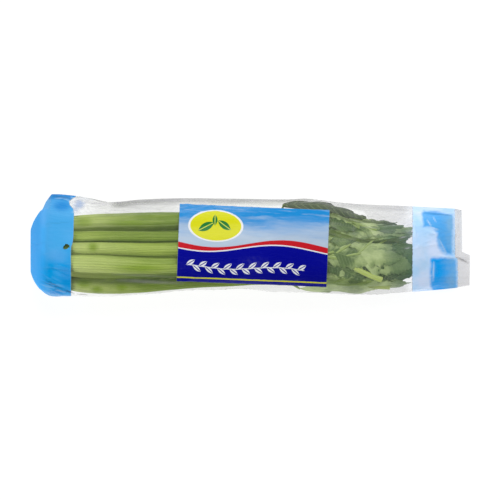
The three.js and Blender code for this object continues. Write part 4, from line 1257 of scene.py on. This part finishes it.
def film_finish():
    """Clear film with painted sheen, highlights and shade lines, with its opaque blue end, its blue mouth and
    the label.
    """
    board = Finish("printed film", IOR=1.5, Specular_IOR_Level=0.11)
    x, y, left, end, deep, upper, painted_sheen, loose, veil, sheet_x, sheet_y = board.painted(
        "label_x", "label_y", "left_print", "end_print", "deep_print", "upper", "painted_sheen", "loose", "veil",
        "sheet_x", "sheet_y")
    deep_spot, pale_spot, bloom, shade_lines, highlight_lines = board.painted(
        "deep_spot", "pale_spot", "bloom", "dark_stroke", "bright_stroke")
    at = board.place()
    east, north = (part * 1000 for part in board.parts(at)[:2])
    patch, = board.group(MOTTLE, At=at, Size=30.0, Softness=0.5)
    streak = board.grain(board.vector(sheet_x * 0.02, sheet_y * 0.16, upper * 9), 1.0, 4.0, 0.6)
    fine = board.grain(board.vector(sheet_x * 0.07, sheet_y * 0.3, upper * 5), 1.0, 3.0, 0.6)
    crinkle = board.grain(board.vector(sheet_x * 0.035, sheet_y * 0.12, upper * 3), 1.0, 2.0)
    crinkle = abs(crinkle - 0.5).step(0.03, 0.0)
    # Painted sheen along the creases, with fine crinkles where the film is slack.
    sheen = (painted_sheen + crinkle * streak.step(0.45, 0.7) * loose * 0.12).least(1.0)
    haze = streak.step(0.42, 0.75) * loose
    bloom = bloom * (fine * 1.6 + 0.1).least(1.0)
    # Painted glare: pale streaks on the far side just short of the mouth's band.
    painted_glare = end.step(-13, -1) * north.step(-10, 10) * upper * (streak * 1.5 - 0.3)
    # The clear film's colour: painted sheen, a bluish bloom, painted shade lines, painted highlights and
    # painted glare over it.
    colour = board.coats(
        (184, 183, 188),
        (sheen, (172, 171, 177)),
        (bloom, (126, 162, 214)),
        (shade_lines, (92, 92, 80)),
        (highlight_lines, (240, 243, 248)),
        (painted_glare, (214, 228, 246)))
    alpha = (CLEAR_ALPHA + sheen * 0.62 + haze * 0.06 + veil * (streak * 0.3 + 0.85)).least(0.95)
    alpha = alpha.most(bloom * 0.7).most(shade_lines * 0.75).most(highlight_lines * 0.8).most(painted_glare * 0.6)

    # The mouth's pale band, and the stronger blue that is printed over it and rubbed in places.
    band = (end + (fine - 0.5) * 2.4).step(-0.7, 0.7)
    worn = (deep + (fine - 0.5) * 2.0 + (patch - 0.5) * 4.0).step(-2.2, 2.6)
    rubbed = (east.step(196, 216) * 0.7 + (patch - 0.5) * 0.5 + (streak - 0.5) * 0.5).step(0.0, 1.0)
    rubbed = rubbed + north.step(-14, 4) * 0.45
    # The blue carries the painted shade lines and painted highlights too.
    mouth_blue = board.coats(
        (6, 168, 255),
        (rubbed, (126, 186, 234)),
        (shade_lines, (20, 96, 170)),
        (highlight_lines, (206, 230, 252)))

    # The blue end: its rounded tip is painted lighter, and glows, to lift its shade; painted shade lines and
    # highlights lie on it too.
    rounding = east.step(-208, -224)
    end_blue = board.coats(
        (76, 178, 244),
        ((north + (patch - 0.5) * 16).step(2, -26), (0, 164, 240)),
        (east.step(-196, -218) * north.step(-26, -4) * 0.6, (84, 184, 255)),
        ((north + (streak - 0.5) * 10).step(45, 51) * 0.85, (14, 136, 218)),
        (streak.step(0.55, 0.8) * 0.35, (130, 196, 248)),
        (deep_spot, (0, 142, 226)),
        (pale_spot, (150, 196, 255)),
        (shade_lines, (0, 84, 150)),
        (highlight_lines, (170, 216, 252)),
        (rounding, (66, 180, 255)))
    left_share = left.step(-0.5, 0.5)

    half_x, half_y = LABEL_HALF
    on_label = abs(x).step(half_x + 0.3, half_x - 0.3) * upper.step(0.45, 0.55)
    on_label = on_label * abs(y).step(half_y + 0.3, half_y - 0.3)
    # The inks over the clear film; the label takes a little of the painted sheen.
    for share, ink, cover in (
        (band, board.mix(patch, (176, 216, 252), (212, 228, 254)), 0.92),
        (worn, mouth_blue, 0.93),
        (left_share, end_blue, 1.0),
        (on_label, board.mix(sheen * 0.08, label_print(board, x, y), (232, 236, 242)), 1.0),
    ):
        colour = board.mix(share, colour, ink)
        alpha = board.between(share, alpha, cover)
    # Painted glow: the pale band and the rounded tip of the blue end give off a little light of their own
    # colour, lifting them where the lamps leave them dim.
    lit = board.mix(band * (1 - worn * 0.35), (0, 0, 0), colour)
    lit = board.mix(rounding * left_share, lit, (0.0, 0.1, 0.45, 1.0))
    relief = (fine * 0.15 + streak) * east.step(-228, -196)
    return board.wear(colour, fine * 0.14 + 0.2 + rounding * 0.45, relief, 0.3, 0.0008, 0.25, lit, alpha)


# ---- The head in its bag ----

# The last number of each is its painted glow: light painted in to lift the shade in the gaps between the
# stalks, most on the inner ones.
outer_skin = stalk_finish(
    "outer stalk", (204, 218, 134), (172, 194, 84), (118, 146, 34), (64, 90, 14), 9.0, 115.0, 0.04)
inner_skin = stalk_finish(
    "inner stalk", (214, 220, 150), (172, 194, 96), (130, 156, 56), (88, 114, 30), 8.0, 110.0, 0.2)
heart_skin = stalk_finish(
    "heart stalk", (232, 234, 184), (206, 216, 130), (172, 192, 92), (136, 160, 60), 7.0, 150.0, 0.14)
leaf_skin = leaf_finish(
    "leaf", (66, 93, 50), (124, 149, 82), (184, 200, 142), (182, 198, 136), (166, 184, 80), (78, 108, 78))
heart_leaf_skin = leaf_finish(
    "heart leaf", (112, 150, 48), (158, 186, 74), (190, 208, 116), (214, 224, 150), (196, 212, 110),
    (150, 180, 80))

root_plate_piece(root_finish())
for kind, shell, stalks, plan, first_seed, stalk_skin, top_skin, slot_start in (
    (OUTER, OUTER_SHELL, OUTER_STALKS, OUTER_PLAN, 11, outer_skin, leaf_skin, ""),
    (INNER, INNER_SHELL, INNER_STALKS, INNER_PLAN, 31, inner_skin, leaf_skin, ""),
    (HEART, HEART_SHELL, HEART_STALKS, HEART_PLAN, 71, heart_skin, heart_leaf_skin, "heart_"),
):
    for i, stalk in enumerate(stalks):
        stalk_piece(kind, shell, stalk, i + 1, stalk_skin, slot_start + "stalk")
        if "spray" in stalk:
            own_plan = UNDER_PLAN if "under" in stalk else plan
            spray_piece(kind, shell, stalk, own_plan, i + 1, first_seed + i, top_skin, slot_start + "leaf")
film_piece(film_finish())

# ---- Floor, light and camera ----

FLOOR_HALF = 8.0
FLOOR_Z = -0.0004
LENS_MM = 206


def add_object(name, data):
    made = bpy.data.objects.new(name, data)
    bpy.context.scene.collection.objects.link(made)
    return made


def stage_floor():
    mesh = bpy.data.meshes.new("floor")
    corners = [(x * FLOOR_HALF, y * FLOOR_HALF, FLOOR_Z) for x, y in ((-1, -1), (1, -1), (1, 1), (-1, 1))]
    mesh.from_pydata(corners, [], [(0, 1, 2, 3)])
    board = Finish("floor", Roughness=0.9, Specular_IOR_Level=0.1, Base_Color=(0.2, 0.2, 0.2, 1),
                   Emission_Color=(1, 1, 1, 1), Emission_Strength=0.9)
    mesh.materials.append(board.material)
    add_object("floor", mesh)


def soft_light(name, at, size, watts):
    light = bpy.data.lights.new(name, "AREA")
    light.shape, light.size, light.energy = "SQUARE", size, watts
    lamp = add_object(name, light)
    lamp.location = at
    lamp.rotation_euler = (-lamp.location.normalized()).to_track_quat("-Z", "Y").to_euler()


stage_floor()
soft_light("far box", (0.3, 1.3, 1.5), 1.4, 32)
soft_light("near box", (-0.9, -1.2, 1.3), 1.2, 20)
world = bpy.data.worlds.new("studio")
world.use_nodes = True
studio = Board(world.node_tree)
up = studio.parts(studio.field("TexCoord", output="Generated"))[2]
studio.feed(world.node_tree.nodes["Background"].inputs["Strength"], up.step(0.25, 1.0, 1.1, 0.6))
bpy.context.scene.world = world

lens = bpy.data.cameras.new("camera")
lens.sensor_width, lens.lens, lens.clip_end = 36, LENS_MM, 20
camera = add_object("camera", lens)
camera.location = [length * MM for length in VIEW_FROM]
bpy.context.scene.camera = camera
bpy.context.scene.view_settings.view_transform = "Standard"
